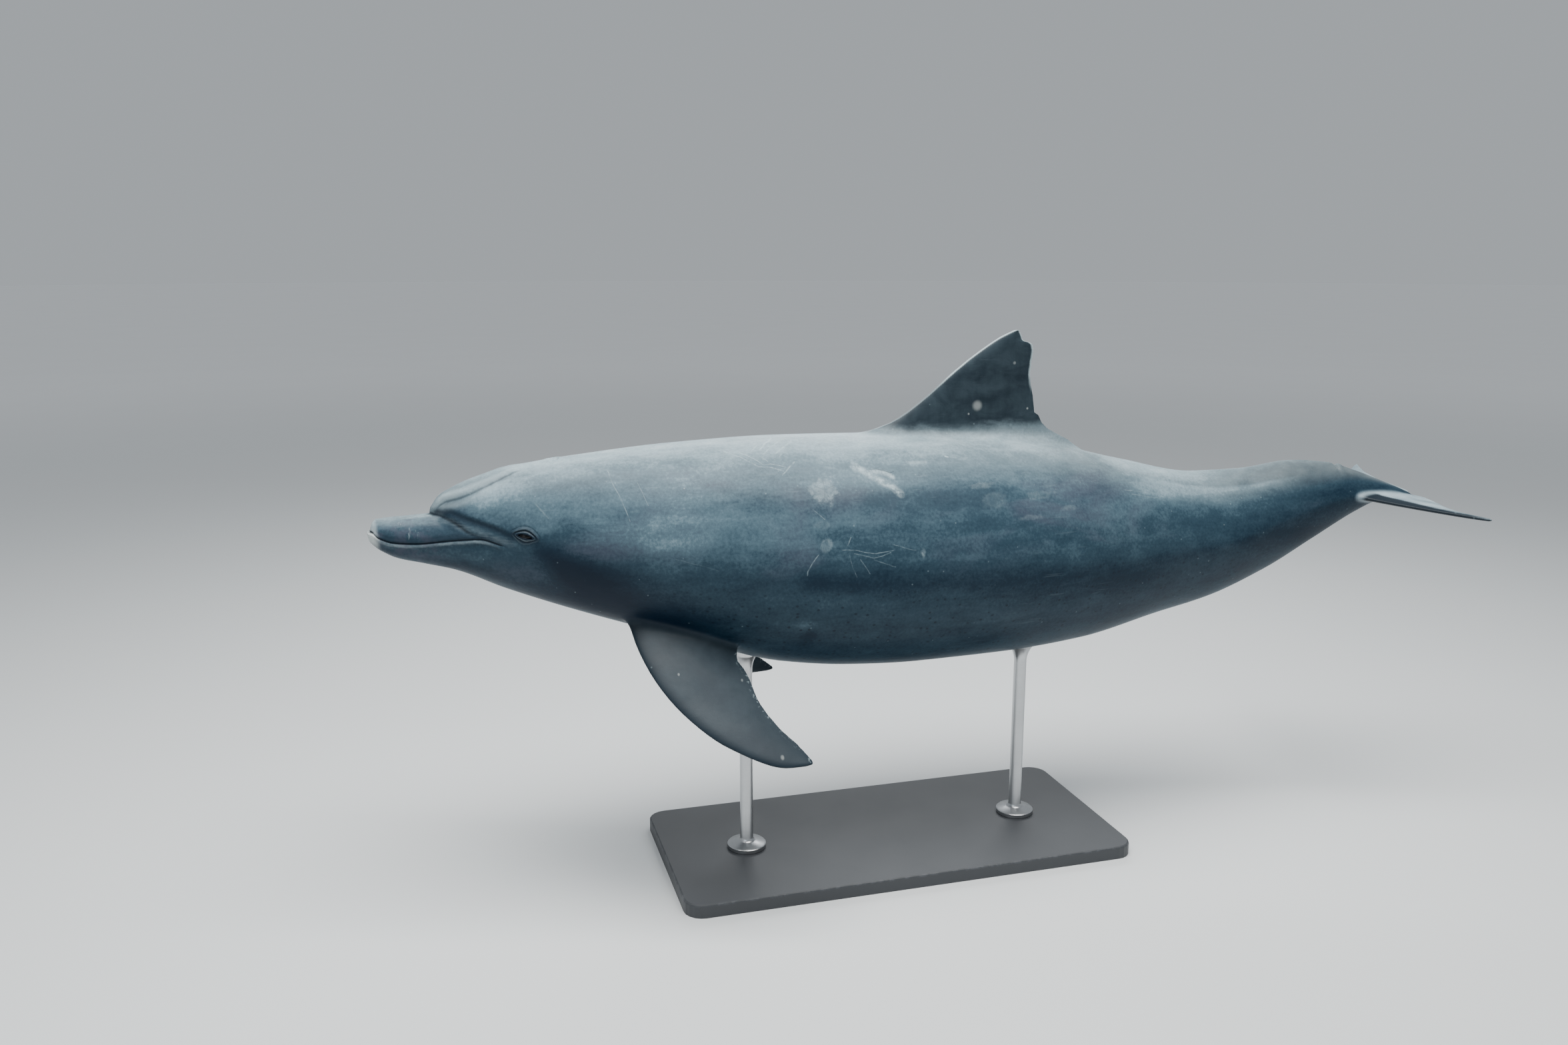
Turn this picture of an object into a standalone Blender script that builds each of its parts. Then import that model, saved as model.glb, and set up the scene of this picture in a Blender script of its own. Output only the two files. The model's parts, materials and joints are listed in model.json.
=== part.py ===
"""Bottlenose dolphin: a still, life-size model of an adult female held up by a display stand.

The animal is level, its head towards -X, its left side towards -Y and its tail swung a little to the left.
Every station is a distance back from the tip of the lower jaw, and every level is a height above the body's
own reference line. Metres, +Z up, with the origin in the middle of the underside of the stand's base.
"""
import math

import bmesh
import bpy
from mathutils import Matrix, Vector

# Driving dimensions.
BALANCE_STATION = 1.06
REFERENCE_HEIGHT = 0.745
TAIL_END = 2.30
GAP = 0.0003

# The body's division into lengths: each one's name, its start and end, and its rows of facets.
HEAD_END = 0.36
LENGTHS = (("neck", HEAD_END, 0.47, 3), ("chest", 0.47, 0.86, 9), ("trunk", 0.86, 1.50, 13),
           ("loin", 1.50, 1.85, 8), ("tail_stock", 1.85, TAIL_END, 14))

# Swing of the tail to the left: the midline leaves the median plane here, with this curvature.
SWING_START = 1.50
SWING_CURVATURE = 0.196

# Beak.
BEAK_NOSE_RADIUS = 0.020
UPPER_JAW_NOSE_RADIUS = 0.013
UPPER_JAW_SETBACK = 0.0045
SETBACK_END = 0.10
DOME_START = 0.108
DOME_END_OF_BEAK = 0.28
CREASE_SOFTNESS = 0.006
GAPE_STATION = 0.245
GAPE_LEVEL = 0.008

# Eyes: a place on the side of the head, how far each is sunk, and half its length, depth and height.
EYE_STATION = 0.286
EYE_LEVEL = 0.0275
EYE_SUNK = 0.0055
EYE_HALF_SIZE = (0.0175, 0.0085, 0.0080)

# Sections of the fins: how full the round front is, how much is left at the thin back edge, half of the least
# thickness of an edge, the share of the way to the tip at which a fin ends, and the facets across it.
FIN_FULLNESS = 1.9
FIN_REAR_FULLNESS = 0.06
FIN_EDGE_HALF_THICKNESS = 0.0004
FIN_END = 0.985
FIN_COLUMNS = 7

# Facets round one section of the body.
SIDES = 28

SKIN = ("skin", (0.17, 0.20, 0.23), 0.42, 0.0)
SKIN_PALE = ("skin_lower_jaw", (0.24, 0.29, 0.32), 0.42, 0.0)
SKIN_DARK = ("skin_fin", (0.10, 0.12, 0.15), 0.42, 0.0)
EYE = ("eye", (0.02, 0.016, 0.014), 0.10, 0.0)
STAND_PAINT = ("stand_paint", (0.050, 0.054, 0.060), 0.45, 0.0)
STAND_STEEL = ("stand_steel", (0.60, 0.61, 0.62), 0.30, 1.0)


def smooth_curve(*knots):
    """Return the function that runs smoothly through (station, value) knots without overshooting them."""
    steps = [(b[1] - a[1]) / (b[0] - a[0]) for a, b in zip(knots, knots[1:])]
    slopes = [steps[0]]
    for before, after in zip(steps, steps[1:]):
        slopes.append(2 * before * after / (before + after) if before * after > 0 else 0.0)
    slopes.append(steps[-1])

    def value(station):
        if station <= knots[0][0]:
            return knots[0][1]
        if station >= knots[-1][0]:
            return knots[-1][1]
        index = max(i for i, knot in enumerate(knots) if knot[0] <= station)
        (start, low), (end, high) = knots[index], knots[index + 1]
        span = end - start
        t = (station - start) / span
        return (low * (1 + 2 * t) * (1 - t) ** 2 + high * t * t * (3 - 2 * t)
                + slopes[index] * span * t * (1 - t) ** 2 - slopes[index + 1] * span * t * t * (1 - t))

    return value


# Level of the axis that the sections are drawn about: the mouth in the beak, mid-height behind it.
axis_level = smooth_curve((0.00, 0.026), (0.03, 0.018), (0.07, 0.012), (0.22, 0.014), (0.32, 0.008),
                          (0.50, -0.010), (0.70, -0.041), (1.00, -0.070), (1.30, -0.078), (1.60, -0.090),
                          (1.79, -0.090), (1.98, -0.048), (2.12, -0.008), (2.20, 0.005), (2.30, 0.008))
back_level = smooth_curve((0.108, 0.040), (0.114, 0.062), (0.130, 0.088), (0.155, 0.106), (0.20, 0.125),
                          (0.27, 0.143), (0.40, 0.160), (0.60, 0.177), (0.80, 0.184), (1.00, 0.181),
                          (1.20, 0.171), (1.40, 0.148), (1.60, 0.102), (1.79, 0.066), (1.90, 0.068),
                          (2.03, 0.083), (2.12, 0.076), (2.20, 0.053), (2.25, 0.034), (2.30, 0.018))
belly_level = smooth_curve((0.00, 0.010), (0.02, -0.006), (0.05, -0.023), (0.10, -0.037), (0.16, -0.054),
                           (0.25, -0.095), (0.40, -0.154), (0.60, -0.223), (0.80, -0.288), (0.95, -0.308),
                           (1.10, -0.315), (1.30, -0.314), (1.50, -0.302), (1.70, -0.262), (1.84, -0.231),
                           (1.98, -0.175), (2.10, -0.105), (2.20, -0.044), (2.25, -0.016), (2.30, -0.002))
beak_top = smooth_curve((0.00, 0.048), (0.03, 0.055), (0.08, 0.057), (0.12, 0.059), (0.15, 0.056),
                        (0.20, 0.044), (0.28, 0.020))
beak_half_width = smooth_curve((0.00, 0.024), (0.02, 0.030), (0.05, 0.038), (0.10, 0.046), (0.15, 0.058),
                               (0.20, 0.074), (0.28, 0.094))
half_width = smooth_curve((0.108, 0.008), (0.12, 0.028), (0.14, 0.046), (0.17, 0.063), (0.20, 0.077),
                          (0.25, 0.101), (0.32, 0.124), (0.40, 0.143), (0.60, 0.182), (0.80, 0.211),
                          (1.00, 0.221), (1.20, 0.214), (1.40, 0.190), (1.60, 0.148), (1.80, 0.102),
                          (2.00, 0.064), (2.12, 0.047), (2.20, 0.038), (2.30, 0.030))
# Powers of the sections' superellipses: 2 is an ellipse, less than 2 a keel, more a flatter top.
back_power = smooth_curve((0.12, 2.1), (0.60, 2.0), (1.10, 1.85), (1.60, 1.75), (2.00, 1.55), (2.30, 1.60))
belly_power = smooth_curve((0.00, 2.0), (0.30, 2.1), (0.90, 2.15), (1.40, 2.0), (1.75, 1.75), (2.00, 1.55),
                           (2.30, 1.60))
BEAK_POWER = 2.4


def place(station, side, level):
    """Return the world point at a station, a distance to the right of the median plane, and a level."""
    return Vector((station - BALANCE_STATION, side, level + REFERENCE_HEIGHT))


def midline_side(station):
    """Return how far the body's midline lies to the right (+Y) of the median plane."""
    return -0.5 * SWING_CURVATURE * max(station - SWING_START, 0.0) ** 2


def smooth_max(a, b, softness):
    """Return the larger of two lengths, rounded where they are nearly equal."""
    near = max(softness - abs(a - b), 0.0)
    return max(a, b) + near * near / (4 * softness)


def superellipse(angle, across, up, power):
    """Return a section's radius at an angle from straight up or down."""
    return (abs(math.sin(angle) / across) ** power + abs(math.cos(angle) / up) ** power) ** (-1 / power)


def nose_rounding(station, radius):
    """Return the share of its full section that a round-nosed body has at a station."""
    return math.sqrt(max(1 - max(1 - station / radius, 0.0) ** 2, 0.0))


def section_radius(station, angle):
    """Return the distance from the axis to the skin, at an angle from straight up."""
    level = axis_level(station)
    lateral = half_width(station) if station > DOME_START else 0.0
    if station < DOME_END_OF_BEAK:
        lateral = smooth_max(beak_half_width(station), lateral, CREASE_SOFTNESS)
    if angle > math.pi / 2:
        keel = superellipse(angle, lateral, level - belly_level(station), belly_power(station))
        return keel * nose_rounding(station, BEAK_NOSE_RADIUS)
    dome = 0.0
    if station > DOME_START:
        dome = superellipse(angle, half_width(station), back_level(station) - level, back_power(station))
    if station >= DOME_END_OF_BEAK:
        return dome
    beak = superellipse(angle, beak_half_width(station), beak_top(station) - level, BEAK_POWER)
    return smooth_max(beak, dome, CREASE_SOFTNESS) * nose_rounding(station, UPPER_JAW_NOSE_RADIUS)


def skin_point(station, angle, side, clearance=0.0):
    """Return the point of the skin at a station and an angle from straight up, on side -1 (left) or 1."""
    radius = section_radius(station, angle) + clearance
    across = midline_side(station) + side * radius * math.sin(angle)
    level = axis_level(station) + radius * math.cos(angle)
    setback = UPPER_JAW_SETBACK * max(1 - station / SETBACK_END, 0.0) if angle < math.pi / 2 else 0.0
    return place(station + setback, across, level)


def body_ring(station, clearance=0.0):
    """Return one closed ring of skin points, from the back down the right side and up the left."""
    half = SIDES // 2
    right = [skin_point(station, math.pi * i / half, 1, clearance) for i in range(half + 1)]
    left = [skin_point(station, math.pi * i / half, -1, clearance) for i in range(half - 1, 0, -1)]
    return right + left


def spread(start, end, count):
    """Return count + 1 stations spaced evenly from start to end."""
    return [start + (end - start) * i / count for i in range(count + 1)]


def material_of(look):
    """Return the Principled material for a (name, colour, roughness, metallic) look."""
    name, colour, roughness, metallic = look
    material = bpy.data.materials.get(name) or bpy.data.materials.new(name)
    material.use_nodes = True
    shader = material.node_tree.nodes["Principled BSDF"]
    shader.inputs["Base Color"].default_value = (*colour, 1.0)
    shader.inputs["Roughness"].default_value = roughness
    shader.inputs["Metallic"].default_value = metallic
    return material


def add_object(name, mesh_maker, look, collection):
    """Turn a bmesh into a named object with its material, facing outwards."""
    bmesh.ops.recalc_face_normals(mesh_maker, faces=mesh_maker.faces)
    mesh = bpy.data.meshes.new(name)
    mesh_maker.to_mesh(mesh)
    mesh_maker.free()
    mesh.materials.append(material_of(look))
    thing = bpy.data.objects.new(name, mesh)
    collection.objects.link(thing)
    return thing


def add_cutter(name, mesh_maker, cutters):
    """Keep a bmesh as a cutter that is never rendered."""
    thing = add_object(name, mesh_maker, SKIN, cutters)
    thing.hide_render = True
    thing.display_type = "WIRE"
    return thing


def loft(rings, tip=None):
    """Return a closed bmesh through rings of equally many points, with flat ends or a tip ahead of them."""
    maker = bmesh.new()
    rows = [[maker.verts.new(point) for point in ring] for ring in rings]
    for row, following in zip(rows, rows[1:]):
        for i in range(len(row)):
            j = (i + 1) % len(row)
            maker.faces.new((row[i], row[j], following[j]))
            maker.faces.new((row[i], following[j], following[i]))
    if tip is None:
        maker.faces.new(rows[0])
    else:
        point = maker.verts.new(tip)
        for i in range(len(rows[0])):
            maker.faces.new((point, rows[0][(i + 1) % len(rows[0])], rows[0][i]))
    maker.faces.new(rows[-1])
    return maker


def cut(thing, cutter, operation="DIFFERENCE"):
    """Cut an object with another, exactly."""
    modifier = thing.modifiers.new(cutter.name, "BOOLEAN")
    modifier.operation = operation
    modifier.object = cutter
    modifier.solver = "EXACT"


def nose_stations():
    """Return the head's stations, close together round the nose and the front of the melon."""
    nose = [0.001, 0.004, 0.009, 0.015]
    beak = spread(0.024, 0.104, 5)
    melon = [0.110, 0.114, 0.119, 0.126, 0.135, 0.147, 0.163]
    return nose + beak + melon + spread(0.183, HEAD_END - GAP, 7)


def wall(name, outline, cutters):
    """Return a cutter: an outline of (station, level) points drawn straight through from side to side."""
    reach = 0.3
    maker = bmesh.new()
    face = maker.faces.new([maker.verts.new(place(station, -reach, level)) for station, level in outline])
    grown = bmesh.ops.extrude_face_region(maker, geom=[face])["geom"]
    moved = [item for item in grown if isinstance(item, bmesh.types.BMVert)]
    bmesh.ops.translate(maker, verts=moved, vec=(0.0, 2 * reach, 0.0))
    return add_cutter(name, maker, cutters)


def build_head(parts, cutters):
    """Build the head in one piece and part it along the mouth, the gape and the crease under the melon."""
    ahead, above, below = -0.05, 0.20, -0.20
    throat_end, melon_front = 0.262, 0.104
    mouth = [(ahead, 0.034), (0.008, 0.032), (0.020, 0.022), (0.045, 0.013), (0.090, 0.010), (0.150, 0.015),
             (0.205, 0.018), (GAPE_STATION, GAPE_LEVEL)]
    crease = [(0.190, 0.034), (0.145, 0.056), (0.117, 0.066), (melon_front, above)]
    throat = [(ahead, below), (throat_end, below)]
    beak_outline = throat + [(GAPE_STATION, GAPE_LEVEL)] + crease + [(ahead, above)]
    whole_front = wall("cut_front", beak_outline, cutters)
    lower = [(station, level - GAP) for station, level in mouth[:-1]]
    lower += [(GAPE_STATION - 2 * GAP, GAPE_LEVEL - GAP), (throat_end - GAP, below), (ahead, below)]
    lower_region = wall("cut_lower_jaw", lower, cutters)
    upper = mouth[:-1] + [(GAPE_STATION - 4 * GAP, GAPE_LEVEL + GAP)]
    upper += [(station - GAP, level - GAP) for station, level in crease[:-1]]
    upper += [(melon_front - GAP, above), (ahead, above)]
    upper_region = wall("cut_upper_jaw", upper, cutters)

    stations = nose_stations()
    tip = skin_point(0.0, math.pi / 2 + 0.01, 1)
    tip.y = 0.0
    head = add_object("head", loft([body_ring(s) for s in stations], tip), SKIN, parts)
    lower_jaw = add_object("lower_jaw", loft([body_ring(s) for s in stations], tip), SKIN_PALE, parts)
    upper_jaw = add_object("upper_jaw", loft([body_ring(s) for s in stations], tip), SKIN, parts)
    cut(head, whole_front)
    cut(lower_jaw, lower_region, "INTERSECT")
    cut(upper_jaw, upper_region, "INTERSECT")
    for side, name in ((-1, "left"), (1, "right")):
        add_object("eye_" + name, eye_lens(side, 0.0), EYE, parts)
        cut(head, add_cutter("cut_eye_" + name, eye_lens(side, GAP), cutters))


def eye_lens(side, clearance):
    """Return an eye: a long low lens set in the side of the head, grown by a clearance."""
    steepness = math.radians(85)
    angle = math.acos((EYE_LEVEL - axis_level(EYE_STATION)) / section_radius(EYE_STATION, steepness))
    surface = skin_point(EYE_STATION, angle, side)
    reach = 0.02
    yaw = math.atan2(half_width(EYE_STATION + reach) - half_width(EYE_STATION - reach), 2 * reach)
    maker = bmesh.new()
    bmesh.ops.create_uvsphere(maker, u_segments=16, v_segments=10, radius=1.0)
    bmesh.ops.scale(maker, verts=maker.verts, vec=[half + clearance for half in EYE_HALF_SIZE])
    bmesh.ops.rotate(maker, verts=maker.verts, matrix=Matrix.Rotation(side * yaw, 3, "Z"))
    bmesh.ops.translate(maker, verts=maker.verts, vec=surface - Vector((0.0, side * EYE_SUNK, 0.0)))
    return maker


def build_lengths(parts):
    """Build the neck, chest, trunk, loin and tail stock, each a loft with flat ends."""
    for name, start, end, count in LENGTHS:
        rings = [body_ring(station) for station in spread(start + GAP, end - GAP, count)]
        add_object(name, loft(rings), SKIN, parts)


def body_cutter(cutters):
    """Return the whole body behind the jaws, two gaps larger all round, to trim what meets it."""
    stations = spread(0.30, HEAD_END, 3)[:-1]
    for _, start, end, count in LENGTHS:
        stations += spread(start, end, count)[:-1]
    stations.append(TAIL_END)
    return add_cutter("cut_body", loft([body_ring(station, 2 * GAP) for station in stations]), cutters)


def edge_curve(edge):
    """Return the function that gives an edge's (chord, span) point for a share of the way to the tip."""
    last = len(edge) - 1
    chord = smooth_curve(*[(i / last, point[0]) for i, point in enumerate(edge)])
    span = smooth_curve(*[(i / last, point[1]) for i, point in enumerate(edge)])
    return lambda way: Vector((chord(way), span(way)))


def fin_section(front, back, thickness):
    """Return a fin section's points, each a (chord, span) and a height, in order round the section."""
    points = [(front, 0.0)]
    for i in range(1, 2 * FIN_COLUMNS):
        turn = math.pi * i / FIN_COLUMNS
        along = 0.5 * (1 - math.cos(turn))
        fullness = math.sqrt(along) * (FIN_FULLNESS * (1 - along) + FIN_REAR_FULLNESS)
        height = 0.5 * thickness * fullness + FIN_EDGE_HALF_THICKNESS
        points.append((front.lerp(back, along), height if i <= FIN_COLUMNS else -height))
    return points


def blade(leading, trailing, thickness, frame, rows=15, bow=0.0):
    """Return a fin's bmesh: sections with a round front and a thin back edge, lofted from root to tip.

    leading and trailing are matching lists of (chord, span) points in the fin's own plane, thickness is a
    function of the way from root to tip, frame turns (chord, span, height) into a world point, and bow bends
    the fin out of its plane by so much for each square metre of span.
    """
    front_at, back_at = edge_curve(leading), edge_curve(trailing)
    rings = []
    for row in range(rows + 1):
        way = FIN_END * math.sin(0.5 * math.pi * row / rows)
        section = fin_section(front_at(way), back_at(way), thickness(way))
        rings.append([frame @ Vector((flat.x, flat.y, height + bow * flat.y ** 2))
                      for flat, height in section])
    return loft(rings)


def plane_frame(origin, chord, span):
    """Return the matrix of a fin's plane from its origin, its chord direction and a point along its span."""
    along = Vector(chord).normalized()
    upright = along.cross(Vector(span)).normalized()
    out = upright.cross(along)
    matrix = Matrix((along, out, upright)).transposed().to_4x4()
    matrix.translation = origin
    return matrix


def build_dorsal_fin(parts, body):
    """Build the swept dorsal fin, with its worn tip and the flare at its foot."""
    leading = [(0.930, 0.120), (0.980, 0.174), (1.060, 0.202), (1.134, 0.251), (1.195, 0.302), (1.254, 0.345),
               (1.307, 0.377), (1.341, 0.390)]
    trailing = [(1.560, 0.070), (1.485, 0.141), (1.411, 0.186), (1.386, 0.235), (1.376, 0.290),
                (1.382, 0.335), (1.366, 0.362), (1.348, 0.386)]
    frame = plane_frame(place(0.0, 0.0, 0.0), (1, 0, 0), (0, 0, 1))
    thickness = smooth_curve((0.0, 0.090), (0.16, 0.056), (0.35, 0.034), (0.7, 0.022), (1.0, 0.010))
    fin = add_object("dorsal_fin", blade(leading, trailing, thickness, frame), SKIN_DARK, parts)
    cut(fin, body)


def build_flippers(parts, body):
    """Build the pectoral flippers, the right one swept further back and held closer than the left."""
    leading = [(-0.030, -0.050), (0.000, 0.000), (0.030, 0.062), (0.078, 0.130), (0.145, 0.190),
               (0.232, 0.235), (0.328, 0.254), (0.398, 0.236)]
    trailing = [(0.190, -0.060), (0.226, 0.000), (0.229, 0.036), (0.251, 0.063), (0.281, 0.120),
                (0.324, 0.167), (0.366, 0.197), (0.401, 0.226)]
    thickness = smooth_curve((0.0, 0.052), (0.14, 0.040), (0.4, 0.026), (0.8, 0.012), (1.0, 0.006))
    foot = (0.478, 0.085, -0.155)
    chord = (0.953, 0.135, -0.270)
    span = (-0.281, 0.721, -0.633)
    for side, name, sweep, fold in ((-1, "flipper_left", 0.0, 0.0), (1, "flipper_right", 12.0, 10.0)):
        inward = Matrix.Rotation(math.radians(-side * fold), 3, "X")
        frame = plane_frame(place(foot[0], side * foot[1], foot[2]),
                            inward @ Vector((chord[0], side * chord[1], chord[2])),
                            inward @ Vector((span[0], side * span[1], span[2])))
        frame = frame @ Matrix.Rotation(math.radians(-sweep), 4, "Z")
        flipper = add_object(name, blade(leading, trailing, thickness, frame), SKIN_DARK, parts)
        cut(flipper, body)


def build_flukes(parts, body):
    """Build the two flukes, level but for a slight roll, turned with the swing of the tail."""
    leading = [(-0.022, 0.000), (-0.006, 0.018), (0.022, 0.052), (0.063, 0.102), (0.101, 0.147),
               (0.138, 0.192), (0.169, 0.229), (0.194, 0.253)]
    trailing = [(0.160, 0.000), (0.176, 0.012), (0.188, 0.034), (0.185, 0.080), (0.176, 0.128),
                (0.177, 0.175), (0.186, 0.218), (0.198, 0.251)]
    thickness = smooth_curve((0.0, 0.038), (0.15, 0.029), (0.5, 0.018), (1.0, 0.007))
    yaw, pitch, roll = math.radians(-7), math.radians(3), math.radians(4.5)
    foot, upturn = 2.17, 0.15
    turn = Matrix.Rotation(yaw, 3, "Z") @ Matrix.Rotation(pitch, 3, "Y") @ Matrix.Rotation(roll, 3, "X")
    for side, name in ((-1, "fluke_left"), (1, "fluke_right")):
        origin = place(foot, midline_side(foot), 0.002) + turn @ Vector((0.0, side * GAP, 0.0))
        frame = plane_frame(origin, turn @ Vector((1, 0, 0)), turn @ Vector((0, side, 0)))
        fin = blade(leading, trailing, thickness, frame, bow=side * upturn)
        fluke = add_object(name, fin, SKIN_DARK, parts)
        cut(fluke, body)


def build_stand(parts, body):
    """Build the base plate and the two rods with their flanges, cut to the belly."""
    length, width, thick = 1.00, 0.46, 0.028
    corner_radius, edge_radius = 0.040, 0.004
    maker = bmesh.new()
    bmesh.ops.create_cube(maker, size=1.0)
    bmesh.ops.scale(maker, verts=maker.verts, vec=(length, width, thick))
    bmesh.ops.translate(maker, verts=maker.verts, vec=(0.0, 0.0, 0.5 * thick))
    corners = [edge for edge in maker.edges if abs(edge.verts[0].co.z - edge.verts[1].co.z) > 0.5 * thick]
    bmesh.ops.bevel(maker, geom=corners, offset=corner_radius, segments=5, profile=0.5, affect="EDGES",
                    material=-1)
    rim = [edge for edge in maker.edges if min(vert.co.z for vert in edge.verts) > 0.9 * thick]
    bmesh.ops.bevel(maker, geom=rim, offset=edge_radius, segments=2, profile=0.5, affect="EDGES", material=-1)
    add_object("stand_base", maker, STAND_PAINT, parts)

    rod, flange, cup = 0.014, 0.042, 0.026
    inside = 0.060
    foot = thick + GAP
    for station, name in ((0.74, "stand_rod_front"), (1.38, "stand_rod_rear")):
        belly = belly_level(station) + REFERENCE_HEIGHT
        profile = [(0.0, belly + inside), (cup, belly + inside), (cup, belly - 0.004), (rod, belly - 0.040),
                   (rod, foot + 0.022), (rod + 0.006, foot + 0.014), (flange - 0.002, foot + 0.010),
                   (flange, foot + 0.008), (flange, foot), (0.0, foot)]
        maker = bmesh.new()
        points = [maker.verts.new((radius, 0.0, height)) for radius, height in profile]
        line = [maker.edges.new(pair) for pair in zip(points, points[1:])]
        bmesh.ops.spin(maker, geom=points + line, cent=(0, 0, 0), axis=(0, 0, 1), angle=2 * math.pi, steps=20,
                       use_merge=True)
        bmesh.ops.remove_doubles(maker, verts=maker.verts, dist=1e-5)
        bmesh.ops.translate(maker, verts=maker.verts, vec=(station - BALANCE_STATION, 0.0, 0.0))
        cut(add_object(name, maker, STAND_STEEL, parts), body)


def main():
    """Clear the scene and build the dolphin and its stand."""
    for thing in list(bpy.data.objects):
        bpy.data.objects.remove(thing)
    parts = bpy.data.collections.new("bottlenose_dolphin")
    cutters = bpy.data.collections.new("cutters")
    for collection in (parts, cutters):
        bpy.context.scene.collection.children.link(collection)
    body = body_cutter(cutters)
    build_head(parts, cutters)
    build_lengths(parts)
    build_dorsal_fin(parts, body)
    build_flippers(parts, body)
    build_flukes(parts, body)
    build_stand(parts, body)


main()
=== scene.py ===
"""Dressed model of an adult bottlenose dolphin on a display stand.

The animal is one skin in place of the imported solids, with fins grown out of it, and two eyes of their own.
The stand keeps its packed base and gets smooth rods. Every station is a distance back from the tip of the
lower jaw, and every level is a height above the body's reference line, as in the solids' source. Metres, +Z
up, head towards -X, left side towards -Y.
"""
from __future__ import annotations

import functools
import json
import logging
import math
from dataclasses import dataclass, field
from enum import Enum
from typing import Callable, Iterable, Sequence

import bmesh
import bpy
import numpy as np
from mathutils import Matrix, Vector

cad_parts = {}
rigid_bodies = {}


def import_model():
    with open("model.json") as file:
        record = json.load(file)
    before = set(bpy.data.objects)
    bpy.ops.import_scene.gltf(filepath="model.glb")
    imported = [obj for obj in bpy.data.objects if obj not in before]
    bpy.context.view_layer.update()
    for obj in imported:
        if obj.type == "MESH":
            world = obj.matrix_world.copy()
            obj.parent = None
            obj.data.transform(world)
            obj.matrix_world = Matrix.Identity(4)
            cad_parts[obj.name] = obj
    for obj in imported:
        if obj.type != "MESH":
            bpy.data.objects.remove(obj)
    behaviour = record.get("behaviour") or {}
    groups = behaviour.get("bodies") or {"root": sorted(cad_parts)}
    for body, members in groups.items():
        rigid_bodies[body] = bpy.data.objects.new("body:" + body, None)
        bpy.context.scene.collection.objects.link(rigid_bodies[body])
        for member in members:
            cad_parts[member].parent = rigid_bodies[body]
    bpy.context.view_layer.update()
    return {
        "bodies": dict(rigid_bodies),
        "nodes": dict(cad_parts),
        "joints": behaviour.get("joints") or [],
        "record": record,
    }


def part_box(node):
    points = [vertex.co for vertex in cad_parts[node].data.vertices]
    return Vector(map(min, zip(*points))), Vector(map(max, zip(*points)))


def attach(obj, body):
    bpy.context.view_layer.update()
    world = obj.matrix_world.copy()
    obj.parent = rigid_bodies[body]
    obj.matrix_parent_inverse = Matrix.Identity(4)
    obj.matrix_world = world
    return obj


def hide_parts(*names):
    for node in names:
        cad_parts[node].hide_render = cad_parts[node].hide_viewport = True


BALANCE_STATION = 1.06
REFERENCE_HEIGHT = 0.745
LOG = logging.getLogger("dolphin")

Socket, Material, Object = bpy.types.NodeSocket, bpy.types.Material, bpy.types.Object
Maker, Vert = bmesh.types.BMesh, bmesh.types.BMVert
Array = np.ndarray
Pairs = tuple[tuple[float, float], ...]
Triple = tuple[float, float, float]
Triples = tuple[Triple, ...]
Colour = Triple


class Side(Enum):
    """A side of the animal, as the sign of its Y."""

    LEFT = -1
    RIGHT = 1


def smooth_step(value: Array, low: float, high: float) -> Array:
    """Return 0 below low, 1 above high and a smooth rise between them."""
    way = np.clip((value - low) / (high - low), 0.0, 1.0)
    return way * way * (3 - 2 * way)


def bell(distance: Array, width: float) -> Array:
    """Return 1 at no distance, falling off as a bell of that width."""
    return np.exp(-(distance / width) ** 2)


def stretch(value: Array, low: float, high: float, fade: float, end: float) -> Array:
    """Return 1 from high to fade, with smooth ends that start at low and stop at end."""
    return smooth_step(value, low, high) * (1 - smooth_step(value, fade, end))


def smooth_max(a: Array, b: Array, softness: float) -> Array:
    """Return the larger of two lengths, rounded where they are nearly equal."""
    near = np.maximum(softness - np.abs(a - b), 0.0)
    return np.maximum(a, b) + near * near / (4 * softness)


@dataclass(frozen=True)
class Curve:
    """A smooth line through (place, value) knots that never runs past them."""

    knots: Pairs

    def __call__(self, place: Array | float) -> Array:
        """Read the curve.

        Args:
            place: where to read it, a number or an array.

        Returns:
            The value at each place, held at the end knots' values beyond them.
        """
        places, values = np.array(self.knots, float).T
        steps = np.diff(values) / np.diff(places)
        product, total = steps[:-1] * steps[1:], steps[:-1] + steps[1:]
        inner = np.where(product > 0, 2 * product / np.where(total == 0, 1.0, total), 0.0)
        slopes = np.concatenate((steps[:1], inner, steps[-1:]))
        at = np.clip(np.asarray(place, float), places[0], places[-1])
        i = np.clip(np.searchsorted(places, at, side="right") - 1, 0, len(places) - 2)
        span = places[i + 1] - places[i]
        t = (at - places[i]) / span
        return (values[i] * (1 + 2 * t) * (1 - t) ** 2 + values[i + 1] * t * t * (3 - 2 * t)
                + slopes[i] * span * t * (1 - t) ** 2 - slopes[i + 1] * span * t * t * (1 - t))


def superellipse(turn: Array, across: Array, up: Array, power: Array) -> Array:
    """Return a section's radius at an angle from straight up or down."""
    sine = np.maximum(np.abs(np.sin(turn) / across), 1e-9)
    cosine = np.maximum(np.abs(np.cos(turn) / up), 1e-9)
    return (sine ** power + cosine ** power) ** (-1 / power)


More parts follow.
